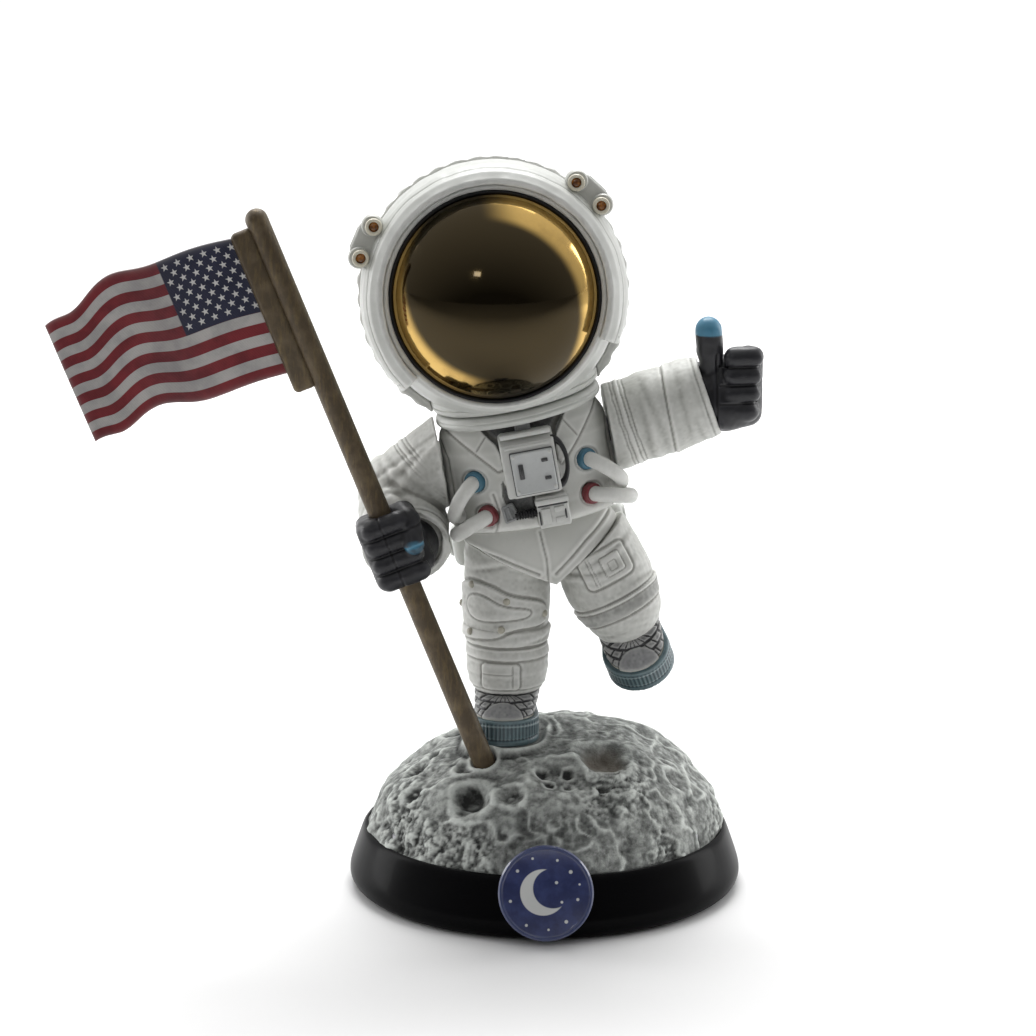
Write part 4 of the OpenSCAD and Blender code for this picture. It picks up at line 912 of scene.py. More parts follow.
def make_sole(name, place, node, body):
    skin = skin_of(name, place, node, 0.2, 6)
    _, y, z, around = boot_fields(skin)
    normals = skin.normals()
    wall = eased(1 - np.abs(normals[:, 2]), 0.35, 0.8) * eased(z, 0.9, 1.7) * (1 - eased(z, 5.0, 5.6))
    ribs = np.cos(around * 2 * np.pi / 0.95)
    welt = groove(z - 1.5, 0.28)
    tread = (normals[:, 2] < -0.6) * eased(np.abs(((y + 40) % 3.2) - 1.6), 0.75, 0.95)
    skin.push(wall * (0.06 * ribs - 0.06) - 0.12 * welt * (np.abs(normals[:, 2]) < 0.5) - 0.5 * tread)
    outline = groove(z - (3.9 + 0.9 * np.cos(around / 9)), 0.22) * (y < 4)
    skin.push(0.09 * outline)
    skin.stain_and_shade(fine=0.045, broad=0.2)
    skin.marks["line"] = np.clip(0.5 * outline + 0.35 * groove(z - 1.75, 0.16) * wall, 0, 1)
    skin.finish(body, "sole_teal", sole_teal, node)


def make_upper(name, place, node, body):
    skin = skin_of(name, place, node, 0.2, 5)
    x, y, z, around = boot_fields(skin)
    strap = np.zeros(len(x))
    for low, high, offset in ((6.45, 7.45, 0.0), (7.9, 8.85, 1.5), (9.25, 10.2, 0.4)):
        band = eased(z, low - 0.1, low + 0.12) * (1 - eased(z, high - 0.12, high + 0.1))
        gap = np.abs(((around + 60 + offset) % 3.4) - 1.7)
        strap = np.maximum(strap, band * (1 - eased(gap, 1.28, 1.45)))
    toe_cap = inside(x, y, rounded([(-5.2, -15), (5.2, -15), (4.6, -9.4), (-4.6, -9.4)]))
    cap = eased(toe_cap, -0.2, 0.3)
    strap = strap * (1 - cap)
    skin.push(0.28 * strap + 0.22 * cap - 0.2 * groove(toe_cap + 0.1, 0.25))
    skin.push(0.05 * lumps(skin.at, 1.2, 5, 2))
    skin.stain_and_shade(fine=0.05, broad=0.16)
    skin.marks["strap"] = np.maximum(0.3 * strap, cap)
    skin.marks["welt"] = eased(z, 5.4, 5.7) * (1 - eased(z, 6.1, 6.35)) * (np.abs(x) < 7.4)
    skin.finish(body, "boot_grey", boot_grey, node)


KNEE_PLATE = [(-110, 23.4), (-75, 26.4), (-48, 27.5), (-18, 26.3), (1, 24.3), (50, 22.5), (66, 20),
              (60, 16.4), (14, 16.4), (1, 15.5), (-16, 14.1), (-48, 13.4), (-110, 12.6)]
KNEE_DROP = [(-64, 21.4), (-56, 24.0), (-33, 24.6), (-7, 21.9), (28, 21.2), (34, 20), (26, 18.9),
             (-17, 18.1), (-40, 17.9), (-56, 19)]
RIVETS = ((-51, 26.3), (-0.6, 23.1), (55, 19.2), (-90, 20.2), (-55, 14.9), (-7.5, 16.3))


def leg_folds(skin, side, degrees, z, spread, swing, folds):
    """Soft creases that run part of the way round a trouser leg."""
    for height, tilt, reach, deep in folds:
        near = np.exp(-((((degrees - reach + 180) % 360 - 180) / spread) ** 2))
        fold = z - height - tilt * np.sin(np.radians(degrees - reach) * swing)
        skin.push(side * near * 0.6 * deep * (groove(fold - 1.1, 1.1) - 0.9 * groove(fold, 0.8)))


def make_leg_right():
    skin = skin_of("trouser_right", SHIN_R, "leg_right", 0.27, 9)
    x, y, z = skin.xyz
    r = np.hypot(x, y)
    side = eased(r, 6.5, 7.6)
    degrees = np.degrees(np.arctan2(x, -y))
    arc = math.radians(1) * LEG_R
    width = degrees * arc
    skin.at[:, :2] *= (1 - side * 0.035 * (1 - eased(z, 0, 9)))[:, None]
    # soft folds, deepest behind the knee and above the hem
    back = eased(np.abs(degrees), 70, 150)
    sag = lumps(np.stack([width * 0.35, z, z * 0], 1), 2.6, 4, 2)
    skin.push(side * (0.1 + 0.3 * back) * sag * eased(z, 1.5, 4))
    leg_folds(skin, side, degrees, z, 48, 1.3, (
        (12.3, 1.1, 40, 0.5), (28.6, -1.6, 62, 0.55), (30.6, 2.0, -20, 0.4),
        (5.9, -0.8, 120, 0.4), (14.2, 1.8, 150, 0.5), (20.5, -1.7, 160, 0.55)))
    # knee band with a light upper lip
    band = eased(z, 8.3, 8.7) * (1 - eased(z, 10.7, 11.1))
    skin.push(side * (0.34 * band + 0.2 * groove(z - 10.9, 0.28) - 0.22 * groove(z - 8.2, 0.28)))
    skin.push(side * seam(np.abs(z - 1.1), 0.16, 0.22))
    # knee plate, its teardrop and its rivet dimples
    plate_at = inside(width, z, rounded([(a * arc, b) for a, b in KNEE_PLATE]))
    drop_at = inside(width, z, rounded([(a * arc, b) for a, b in KNEE_DROP]))
    skin.push(side * (0.62 * eased(plate_at, -0.2, 0.35) - 0.22 * groove(plate_at + 0.42, 0.3)))
    skin.push(side * (0.2 * eased(drop_at, -0.1, 0.4) - 0.26 * groove(drop_at, 0.26)))
    # shin pocket with a flap
    front = side * (y < 0)
    pocket = inside_box(x, z, (-1.45, 4.55), (4.35, 3.15), 1.0)
    skin.push(front * (0.3 * eased(pocket, -0.12, 0.25) - 0.2 * groove(pocket + 0.3, 0.24)))
    inner = (pocket > 0.2) * front
    skin.push(inner * (-0.2 * groove(x - 1.3, 0.2) - 0.2 * groove(z - 5.1, 0.2) * (x < 1.3)))
    for edge_at in (-93, 96):
        skin.push(side * seam(np.abs((degrees - edge_at)) * arc, 0.2, 0.24) * (plate_at < -0.6))
    skin.push(0.05 * lumps(skin.at, 1.4, 8, 2))
    skin.stain_and_shade()
    skin.finish("stand", "suit_white", suit_white, "leg_right", "knee_plate")
    rivets = []
    for degrees_at, height in RIVETS:
        outline = rounded([(0, -0.4), (0.85, -0.4), (0.85, 0.2), (0.6, 0.55), (0, 0.65)], 1, closed=False)
        dome = spun(outline, steps=24, closed=False)
        out = turned("Z", degrees_at - 90) @ shift(LEG_R + 0.55, 0, height)
        rivets.append((dome, out @ turned("Y", 90)))
    piece("knee_rivet_domes", SHIN_R, joined(rivets), "stand", "screw_steel", rivet_brass, "knee_rivets")


def make_leg_left():
    skin = skin_of("trouser_left", THIGH_L, "leg_left", 0.27, 9)
    x, y, z = skin.xyz
    normals = skin.normals()
    side = 1 - eased(np.abs(normals[:, 2]), 0.86, 0.97)
    degrees = np.degrees(np.arctan2(-x, -y))
    width = degrees * math.radians(1) * LEG_R
    back = eased(np.abs(degrees), 60, 140)
    sag = lumps(np.stack([width * 0.35, z, z * 0], 1), 2.8, 14, 2)
    skin.push(side * (0.09 + 0.3 * back) * sag * eased(z, 2, 4))
    leg_folds(skin, side, degrees, z, 42, 1.4, (
        (3.4, 2.2, -30, 0.6), (1.6, -1.2, 30, 0.45), (11.8, 1.2, 70, 0.5),
        (12.6, 1.4, -70, 0.6), (20.2, 0.8, -40, 0.4), (9.0, 2.4, 150, 0.7)))
    # wide knee band with a double upper edge and a grey strip
    band = eased(z, 12.5, 12.9) * (1 - eased(z, 16.4, 16.8))
    skin.push(side * (0.34 * band - 0.24 * groove(z - 12.4, 0.24) - 0.16 * groove(z - 13.5, 0.2)))
    skin.push(side * (-0.26 * groove(z - 16.95, 0.26) + 0.14 * groove(z - 12.9, 0.2)))
    strip = side * eased(z, 13.5, 13.7) * (1 - eased(z, 16.3, 16.6))
    # thigh pocket: a rounded flap, a double stitch line and a small raised label
    front = side * (y < 0)
    across = -x
    pocket = inside_box(across, z, (1.6, 4.2), (5.7, 3.8), 1.3)
    skin.push(front * (0.42 * eased(pocket, -0.12, 0.3) - 0.24 * groove(pocket + 0.34, 0.26)))
    inner = front * (pocket > 0.3)
    skin.push(inner * (-0.2 * groove(across + 1.9, 0.17) - 0.16 * groove(across + 1.2, 0.15)))
    label = inside_box(across, z, (3.3, 4.2), (2.2, 2.2), 0.4)
    skin.push(inner * (0.16 * eased(label, -0.08, 0.16) - 0.16 * groove(label + 0.16, 0.16)))
    skin.push(inner * -0.12 * groove(inside_box(across, z, (3.3, 4.5), (0.9, 1.1), 0.3), 0.16))
    skin.push(side * seam(np.abs(width + 15.5), 0.2, 0.24))
    skin.push(side * seam(np.abs(width - 16.5), 0.2, 0.24))
    skin.push(0.05 * lumps(skin.at, 1.4, 18, 2))
    skin.stain_and_shade()
    skin.marks["dark"] = 0.45 * strip
    skin.finish("left_leg", "suit_white", torso_white, "leg_left")


def make_pelvis():
    skin = skin_of("hips", WAIST, "pelvis", 0.28, 9)
    x, y, z = skin.xyz
    front = eased(-y, 1, 5)
    side = 1 - eased(skin.normals()[:, 2], 0.7, 0.9)
    skin.push(side * 0.12 * lumps(np.stack([x * 0.5, y * 0.5, z], 1), 4.6, 24))
    for line in (((-17, -3), (-10.5, -6.4), (-2.5, -11.5)), ((16.5, -1.2), (9.5, -5.6), (1.5, -12))):
        skin.push(front * seam(from_line(x, z, line), 0.32, 0.32))
    skin.push(front * seam(from_line(x, z, ((-0.6, -1.5), (-0.2, -8), (-0.8, -16))), 0.2, 0.24))
    skin.stain_and_shade()
    skin.finish("stand", "suit_white", suit_white, "pelvis")


# ---- Torso and what hangs on it
STRAP_RIGHT = [(-19.5, 26.5), (-18.2, 25.4), (-12.2, 19.6), (-6.0, 13.0), (-6.0, 20.8), (-8.6, 23.0),
               (-10.6, 27)]
STRAP_LEFT = [(10.4, 27), (8.9, 24.8), (6.4, 22.2), (6.4, 13.2), (9.4, 16.0), (13.4, 20.5),
              (17.6, 25.2), (19, 27)]
# the charcoal bib, drawn wider than the panel so that its dark also paints the helmet's shadow on the
# upper chest
BIB_AND_SHADOW = [(-11.6, 27), (-9.2, 23.3), (-6.4, 19.6), (-6.2, 12.6), (6.2, 12.6), (6.4, 19.6), (9, 23.6),
       (11.6, 27)]
BELLY_DARK = [(-7.2, 13), (-5.9, 9.8), (0.4, 9.2), (-0.2, 2.2), (-4.9, 3.3), (-7.9, 7.2)]


def make_torso():
    skin = skin_of("torso_shell", WAIST, "torso", 0.3, 7)
    x, y, z = skin.xyz
    front = eased(-y, 0.5, 3)
    normals = skin.normals()
    side = 1 - eased(np.abs(normals[:, 2]), 0.8, 0.95)
    ends = 1 - eased(np.abs(x), 18.9, 19.3)
    soft = side * ends
    # waist roll and slack over the hips
    roll = eased(z, -0.2, 1.4) * (1 - eased(z, 1.8, 4.4))
    skin.push(soft * (0.28 * roll + 0.07 * lumps(np.stack([x * 0.4, y * 0.4, z], 1), 3.0, 34, 2)))
    skin.push(soft * 0.16 * lumps(skin.at, 7.5, 37) * (1 - eased(np.abs(z - 12), 4, 9)))
    # shoulder straps that meet at the chest box
    for outline, cross in ((STRAP_RIGHT, ((-8.2, 23.8), (-12.6, 18.6))),
                           (STRAP_LEFT, ((8.6, 24.4), (12.3, 18.5)))):
        strap = inside(x, z, rounded(outline, 1))
        skin.push(soft * front * (0.34 * eased(strap, -0.1, 0.35) - 0.24 * groove(strap + 0.3, 0.26)))
        skin.push(soft * front * -0.24 * groove(from_line(x, z, cross), 0.22) * (strap > 0.2))
    bib_and_shadow = inside(x, z, rounded(BIB_AND_SHADOW, 1))
    belly = inside(x, z, rounded(BELLY_DARK, 1))
    skin.push(front * (-0.3 * eased(bib_and_shadow, -0.1, 0.3) - 0.24 * eased(belly, -0.1, 0.3)))
    # side seams and the seams that run down to the waist
    for line in (((-19.4, 23.4), (-18.2, 17.9), (-18.3, 7.9), (-17, 0)),
                 ((19.4, 22.6), (18.7, 16.3), (18.9, 8.8), (17.4, 0)),
                 ((-9.6, 9.2), (-9.0, 5.6), (-10.4, 0.2))):
        skin.push(soft * front * seam(from_line(x, z, line), 0.24, 0.26))
    # drawn-in gathers on the back and under both arms
    back = eased(y, 2, 5)
    skin.push(soft * back * 0.4 * lumps(np.stack([x * 0.3, y * 0.3, z * 1.2], 1), 3.0, 39, 2))
    # moulded rings that the hose collars sit in
    for spot in BLUE_SPOTS + RED_SPOTS:
        d = np.hypot(x - spot[0], z - spot[1])
        skin.push(front * -0.2 * groove(d - 2.75, 0.3))
    skin.stain_and_shade()
    # the dark mark: the charcoal bib and belly panel, and over the upper chest a painted shadow of the
    # helmet
    dark = front * np.maximum(eased(bib_and_shadow, -0.1, 0.15), eased(belly, -0.1, 0.15))
    skin.marks["dark"] = dark
    skin.finish("stand", "suit_white", torso_white, "torso", "chest_bib", "harness_right", "harness_left")


def torso_paint():
    """The suit's paint, with a charcoal bib and belly panel; the bib's dark reaches wider than the panel
    as a painted shadow of the helmet, and the hollows darken as a wash and painted shade.
    """
    paint = Paint("torso_white", specular_ior_level=0.4)
    cloud = paint.ramp(paint.grain(7, 2), 0.35, 0.7)
    freckle = paint.ramp(paint.grain(0.9, 4, 0.7), 0.62, 0.8)
    colour = paint.blend(cloud * 0.45, SUIT_BASE, SUIT_SHADE)
    colour = paint.blend(freckle * 0.14, colour, (0.13, 0.125, 0.11))
    weave = paint.ramp(paint.grain(0.6, 3), 0.4, 0.7)
    # charcoal bib and belly, the bib's wider part being a painted shadow of the helmet
    colour = paint.blend(paint.mark("dark"), colour, paint.blend(weave, (0.045, 0.046, 0.046),
                                                                 (0.085, 0.087, 0.086)))
    # darker hollows: a wash and painted shade
    wash_and_shade_amount = (paint.mark("wash_and_shade") * (0.7 + 0.6 * paint.grain(2.2, 3))).least(1) * 0.6
    colour = paint.blend(wash_and_shade_amount, colour, (0.16, 0.155, 0.135))
    rubbed = (paint.mark("edge") * (0.3 + 0.6 * paint.grain(1.3, 3))).least(1)
    colour = paint.blend(rubbed * (1 - 0.7 * paint.mark("dark")), colour, SUIT_WORN)
    grit = paint.grain(0.28, 2, 0.6) + 0.5 * paint.grain(1.6, 3, 0.6)
    return paint.feed(base_color=colour, roughness=0.46 + 0.12 * wash_and_shade_amount + 0.08 * cloud - 0.06 * rubbed,
                      normal=paint.bump(grit, 0.03, 0.55))


torso_white = torso_paint()


def chest_skin(x):
    return -TORSO_FLAT * math.sqrt(max(0, TORSO_W ** 2 - x * x))


def at_collar(spot):
    """On the chest's skin, with +Z straight out of it."""
    turn = turned("Z", spot[0] * 2.5) @ turned("X", 90)
    return shift(spot[0], chest_skin(spot[0]), spot[1]) @ turn


def make_collars(name, spots, slot, coat, node):
    rings = []
    for spot in spots:
        profile = [(HOSE_R - 0.35, -0.8), (COLLAR_R, -0.8), (COLLAR_R, 0.5), (COLLAR_R - 0.25, 0.95),
                   (COLLAR_R - 0.5, 1.02), (HOSE_R - 0.1, 1.02), (HOSE_R - 0.35, 0.8)]
        rings.append((spun(rounded(profile, 1), steps=72), at_collar(spot)))
    piece(name, WAIST, joined(rings), "stand", slot, coat, node)


def hose(spot, span, drop):
    """A fat moulded tube that leaves the chest at a collar and turns back to the side."""
    outward = 1 if spot[0] > 0 else -1
    bm = bent_tube(HOSE_R, 28, span / 2, HOSE_BEND, 56)
    start = turned("Z", 180 if outward > 0 else 150)
    flat = Matrix.Diagonal((1, 0.72, 1, 1))
    lean = turned("Y", outward * drop)
    return bm, (at_collar(spot) @ turned("X", -90) @ lean @ flat
                @ shift(outward * span / 2, 0, 0) @ start)


def make_hoses(name, node, turns):
    skin = skin_from(name, WAIST, joined([hose(*turn) for turn in turns]))
    skin.push(0.07 * lumps(skin.at, 2.4, 44, 2))
    skin.stain_and_shade(fine=0.05, broad=0.4)
    skin.finish("stand", "suit_white", suit_white, node)


def make_chest_gear():
    deep = CHEST_Y + 0.8
    # chest box: bevelled case, sunk front plate, one long slot and two short ones
    case = rounded_box((12.4, 4.6, 14.6), (-0.2, deep - 2.3, 15.9), 0.55, 3)
    for vert in case.verts:
        if vert.co.y < deep - 3.6 and vert.co.z > 20:
            vert.co.z -= (vert.co.z - 19.4) * 0.55
    plate = rounded_box((9.6, 1.3, 9.8), (0.35, deep - 4.9, 14.2), 0.35, 3)
    sink_front(plate, 0.42, 0.14)
    lid = rounded_box((11.6, 3.8, 1.1), (-0.2, deep - 2.4, 22.9), 0.3, 2)
    hinge = rounded_box((10.6, 0.7, 0.7), (-0.2, deep - 4.5, 20.3), 0.22, 2)
    foot = rounded_box((10.4, 3.4, 0.9), (0.2, deep - 2.5, 8.9), 0.25, 2)
    parts = [(bm, ROW) for bm in (case, lid, hinge, foot)]
    for corner in ((-3.9, 10.1), (4.6, 10.1), (-3.9, 18.3), (4.6, 18.3)):
        screw = spun([(0, -0.2), (0.42, -0.2), (0.42, 0.1), (0.26, 0.22), (0, 0.22)], 20, closed=False)
        parts.append((screw, shift(corner[0], deep - 5.5, corner[1]) @ turned("X", 90)))
    piece("chest_case", WAIST, joined(parts), "stand", "box_white", box_white, "chest_box")
    piece("chest_plate", WAIST, plate, "stand", "panel_grey", panel_grey, "chest_box_panel")
    switches = []
    for x, z, w, h in ((-2.5, 14.7, 1.15, 3.5), (3.1, 16.6, 1.5, 0.8), (3.3, 12.4, 1.5, 0.8)):
        switches.append((rounded_box((w, 0.5, h), (x, deep - 5.55, z), 0.2, 3), ROW))
        switches.append((rounded_box((w * 0.45, 0.5, h * 0.5), (x, deep - 5.75, z), 0.12, 2), ROW))
    # a black frame just behind the plate, showing as a dark line round it: the groove's wash and painted
    # shade
    switches.append((rounded_box((9.98, 1.0, 10.18), (0.35, deep - 4.72, 14.2), 0.3, 2), ROW))
    for x, z, w, h in ((3.2, 5.62, 6.9, 0.36), (5.9, 3.1, 0.42, 2.2), (-0.1, 2.9, 0.36, 3.2)):
        switches.append((rounded_box((w, 0.6, h), (x, CHEST_Y - 3.16, z), 0.12, 2), ROW))
    piece("chest_switches", WAIST, joined(switches), "stand", "trim_grey", slot_black,
          "chest_box_switches")
    # small box under it: raised ledge, a cross bar and two slots
    y = CHEST_Y + 0.6
    low = [(rounded_box((7.3, 3.7, 7.3), (3.2, y - 1.85, 4.0), 0.5, 3), ROW),
           (rounded_box((7.8, 4.4, 1.3), (3.2, y - 2.15, 6.5), 0.3, 2), ROW),
           (rounded_box((2.2, 0.8, 3.6), (1.4, y - 3.85, 3.2), 0.22, 2), ROW),
           (rounded_box((2.4, 0.7, 1.2), (4.6, y - 3.8, 4.4), 0.2, 2), ROW),
           (rounded_box((2.4, 0.6, 1.3), (4.6, y - 3.75, 1.9), 0.2, 2), ROW)]
    piece("lower_case", WAIST, joined(low), "stand", "box_white", box_white, "camera_box")
    # flat black hose that loops beside the chest box
    bm = bent_tube(0.95, 20, 5.5, 180, 48, start=-90)
    narrow = Matrix.Diagonal((0.52, 1, 1, 1))
    bm.transform(shift(5.4, CHEST_Y - 2.2, 15.2) @ turned("X", 90) @ narrow)
    piece("box_loop_hose", WAIST, bm, "stand", "hose_black", hose_black, "box_hose")
    # tether: a buckle and a black coil
    buckle = rounded_box((3.4, 1.0, 4.2), (0, 0, 0), 0.5, 3)
    for vert in buckle.verts:
        vert.co.x *= 1 - 0.07 * vert.co.z
    sink_front(buckle, 0.5, 0.32)
    pin = rounded_box((0.5, 0.5, 3.0), (0, -0.45, 0), 0.15, 2)
    tilt = shift(-6.6, chest_skin(-6.6) - 0.5, 4.7) @ turned("Y", -12)
    piece("tether_clip", WAIST, joined([(buckle, tilt), (pin, tilt)]), "stand", "trim_grey",
          buckle_grey, "tether_buckle")
    turns = 7
    coil = bent_tube(0.26, 10, 0.78, 360 * turns, 20 * turns, rise=4.4)
    core = spun([(0, -0.4), (0.55, -0.4), (0.55, 4.9), (0, 4.9)], 20, closed=False)
    lay = shift(-5.2, CHEST_Y - 0.9, 4.0) @ turned("Y", 90)
    piece("tether_coil", WAIST, joined([(coil, lay), (core, lay)]), "stand", "hose_black", hose_black,
          "tether_spring")
    # loop of the neck strap above the chest box
    strap = rounded_box((3.6, 0.9, 1.9), (0, 0, 0), 0.3, 3)
    sink_front(strap, 0.38, 0.3)
    strap.transform(shift(-0.4, CHEST_Y - 0.9, 24.4))
    piece("neck_strap_loop", WAIST, strap, "stand", "trim_grey", buckle_grey, "neck_loop")


buckle_grey = box_paint("buckle_grey", (0.24, 0.245, 0.245), rough=0.36)


def make_neck_ring():
    profile = [(7, -2.3), (NECK_RING_R - 0.9, -2.3), (NECK_RING_R, -1.6), (NECK_RING_R + 0.1, -0.9),
               (NECK_RING_R - 0.2, -0.6), (NECK_RING_R, -0.2), (NECK_RING_R - 0.6, 0.7),
               (NECK_RING_R - 1.6, 0.88), (7, 0.88)]
    bm = spun(rounded(profile, 1), steps=200)
    piece("neck_band", NECK, bm, "stand", "suit_white", plain_white, "neck_ring")


plain_white = box_paint("shell_white", (0.52, 0.53, 0.50), rough=0.42)


def make_backpack():
    """Two-part life-support pack: ribbed lid, side rails, a filter grille, ports and a lower tank."""
    y0 = -CHEST_Y - 1.6
    body = rounded_box((33, 14, 28), (0, y0 + 7, 9.6), 2.6, 5)
    parts = [(body, ROW)]
    parts.append((rounded_box((24, 1.4, 20), (0, y0 + 14.1, 10.4), 0.6, 3), ROW))
    for k in range(5):
        parts.append((rounded_box((19, 0.8, 1.2), (0, y0 + 14.9, 4.4 + 3 * k), 0.35, 3), ROW))
    for across in (-1, 1):
        parts.append((rounded_box((1.5, 1.2, 23), (across * 14.2, y0 + 13.9, 9.4), 0.5, 3), ROW))
        parts.append((rounded_box((1.2, 9, 2.0), (across * 16.6, y0 + 7, 17.5), 0.45, 3), ROW))
        parts.append((rounded_box((1.2, 9, 2.0), (across * 16.6, y0 + 7, 3.2), 0.45, 3), ROW))
        cap = rounded([(0, -0.5), (2.6, -0.5), (2.6, 0.5), (2.0, 1.0), (0, 1.0)], 1, closed=False)
        parts.append((spun(cap, 48, closed=False), shift(across * 8.5, y0 + 7, 23.6)))
    skin = skin_from("pack_case", WAIST, joined(parts))
    skin.finish("stand", "suit_white", pack_case_paint, "backpack")
    low = [(rounded_box((41, 12.4, 8.7), (0, y0 + 7.6, -8.85), 2.1, 5), ROW),
           (rounded_box((30, 1.2, 5.4), (0, y0 + 13.7, -8.8), 0.45, 3), ROW)]
    for across in (-1, 1):
        port = spun(rounded([(1.0, 0.6), (1.0, -0.5), (2.5, -0.5), (2.5, 0.8), (1.8, 1.2)], 1), 48)
        low.append((port, shift(across * 20.2, y0 + 7.6, -8.8) @ turned("Y", across * 90)))
        low.append((rounded_box((4.6, 1.0, 3.0), (across * 9, y0 + 14.2, -8.8), 0.35, 3), ROW))
    piece("pack_base", WAIST, joined(low), "stand", "box_white", pack_case_paint, "backpack_base")


pack_case_paint = box_paint("pack_shell", (0.50, 0.51, 0.485), rough=0.44)


# ---- Arms
def sleeve_folds(skin, side, width, z, folds):
    """Soft rounded rolls that run part of the way round a sleeve."""
    for height, tilt, reach, spread, deep in folds:
        turn = (width * SLEEVE_TURN - reach + 180) % 360 - 180
        near = np.exp(-((turn / spread) ** 2))
        fold = z - height - tilt * np.sin(np.radians(turn) * 1.2)
        skin.push(side * near * 0.5 * deep * (0.9 * groove(fold - 1.5, 1.5) - groove(fold, 1.0)))


def make_sleeve_left():
    skin = skin_of("sleeve_raised", SLEEVE_L, "sleeve_left", 0.27, 9)
    x, y, z = skin.xyz
    r = np.hypot(x, y)
    side = eased(r, 7.6, 8.4)
    # local -X is up, and -Y faces the front
    degrees = np.degrees(np.arctan2(-x, -y))
    width = degrees * math.radians(1) * 10
    skin.push(side * 0.16 * lumps(np.stack([width * 0.35, z, z * 0], 1), 5.5, 54) * eased(z, 1, 3))
    # two narrow stitched bands with a gap, then the forearm's soft rolls and its long seam
    for at, deep in ((3.5, 0.2), (4.3, 0.18), (5.6, 0.24), (6.5, 0.22)):
        ripple = 0.12 * lumps(np.stack([width, z * 0, z * 0], 1), 2.0, int(at * 10))
        skin.push(side * (-deep * groove(z - at - ripple, 0.2)))
    skin.push(side * 0.22 * groove(z - 4.95, 0.55))
    sleeve_folds(skin, side, width, z, ((8.6, 1.0, -20, 60, 0.55), (11.2, -1.2, 30, 50, 0.45),
                                        (10.4, 1.6, -110, 60, 0.7), (18.4, 0.8, 0, 60, 0.4),
                                        (20.6, -0.9, -50, 50, 0.4), (9.2, 1.0, 150, 60, 0.6),
                                        (19.0, 1.0, 140, 60, 0.55)))
    long_seam = z - 14.6 - 1.4 * np.sin(np.radians(degrees))
    skin.push(side * (0.34 * eased(long_seam, -0.1, 0.5) * (1 - eased(z, 21, 24))
                      - 0.3 * groove(long_seam, 0.26)))
    skin.push(side * seam(np.abs(z - 23.2), 0.14, 0.2))
    skin.push(0.05 * lumps(skin.at, 1.4, 58, 2))
    skin.stain_and_shade()
    skin.finish("left_arm", "suit_white", suit_white, "sleeve_left")


def make_sleeve_right():
    skin = skin_of("sleeve_bent", WAIST, "sleeve_right", 0.3, 9)
    x, y, z = skin.xyz
    elbow = np.array([-30.4, 7, 5.4])
    ends = 1 - eased(x, -20.6, -20.0)
    skin.push(ends * 0.14 * lumps(skin.at, 6.5, 64))
    # upper arm: bands near the shoulder, measured along the slope of the arm
    along = (-(x + SHOULDER_X) * 0.80 - (z - SHOULDER_Z) * 0.60)
    upper = eased(y, -9, -4)
    for at in (2.2, 3.1, 4.6, 5.4):
        skin.push(ends * upper * -0.2 * groove(along - at, 0.22))
    skin.push(ends * upper * 0.2 * groove(along - 3.85, 0.5))
    for at, tilt, deep in ((8.2, 0.10, 0.6), (10.6, -0.14, 0.65), (12.9, 0.12, 0.6)):
        fold = along - at - tilt * y
        skin.push(ends * 0.4 * deep * (0.8 * groove(fold - 1.4, 1.4) - groove(fold, 1.0)))
    # forearm: rolls that wrap it between elbow and cuff
    to_wrist = np.array([-0.9, -13.6, -6.0]) / 14.89
    run = (skin.at - elbow) @ to_wrist
    fore = eased(run, 0, 2)
    for at, tilt, deep in ((3.4, 0.10, 0.55), (6.6, -0.12, 0.5), (9.4, 0.08, 0.45)):
        fold = run - at - tilt * (x - elbow[0])
        skin.push(fore * 0.5 * deep * (0.8 * groove(fold - 1.3, 1.3) - groove(fold, 0.9)))
    skin.push(fore * seam(np.abs(run - 13.4), 0.16, 0.22))
    skin.push(0.05 * lumps(skin.at, 1.4, 68, 2))
    skin.stain_and_shade()
    skin.finish("stand", "suit_white", suit_white, "sleeve_right")


def make_gloves():
    skin = skin_of("glove_fist", POLE, "glove_right", 0.24, 4)
    skin.soften(9, 0.16)
    x, y, z = skin.xyz
    # pads between the finger joints, and stitching along the back of the hand
    skin.push(0.08 * lumps(skin.at, 2.2, 74, 2))
    for level in (-3.5, 0.6, 4.7):
        skin.push((y < -3) * -0.22 * groove(z - level, 0.3))
    skin.push((y < -3) * -0.16 * groove(x + 0.4, 0.24))
    skin.stain_and_shade(fine=0.05, broad=0.3)
    tip = np.array([5.2, -6.2, 0.8])
    away = np.linalg.norm(skin.at - tip, axis=1)
    skin.marks["tip"] = 1 - eased(away, 2.2, 2.45)
    skin.finish("stand", "glove_black", glove_black, "glove_right")
    skin = skin_of("glove_thumb_up", FIST_L, "glove_left", 0.24, 4)
    skin.soften(12, 0.22)
    x, y, z = skin.xyz
    skin.push(0.45 * eased(z, 8, 11) * (1 - eased(x, 2.6, 3.2)))
    skin.push(0.08 * lumps(skin.at, 2.4, 84, 2))
    for level in (7.9, 3.7, -0.5):
        skin.push((y < -5) * (x > 2) * -0.24 * groove(z - level, 0.26))
    skin.push((y < -3) * -0.3 * groove(x - 1.6, 0.3) * (z < 11))
    skin.stain_and_shade(fine=0.05, broad=0.3)
    skin.marks["tip"] = eased(z, 15.0, 15.2)
    skin.finish("left_hand", "glove_black", glove_black, "glove_left")


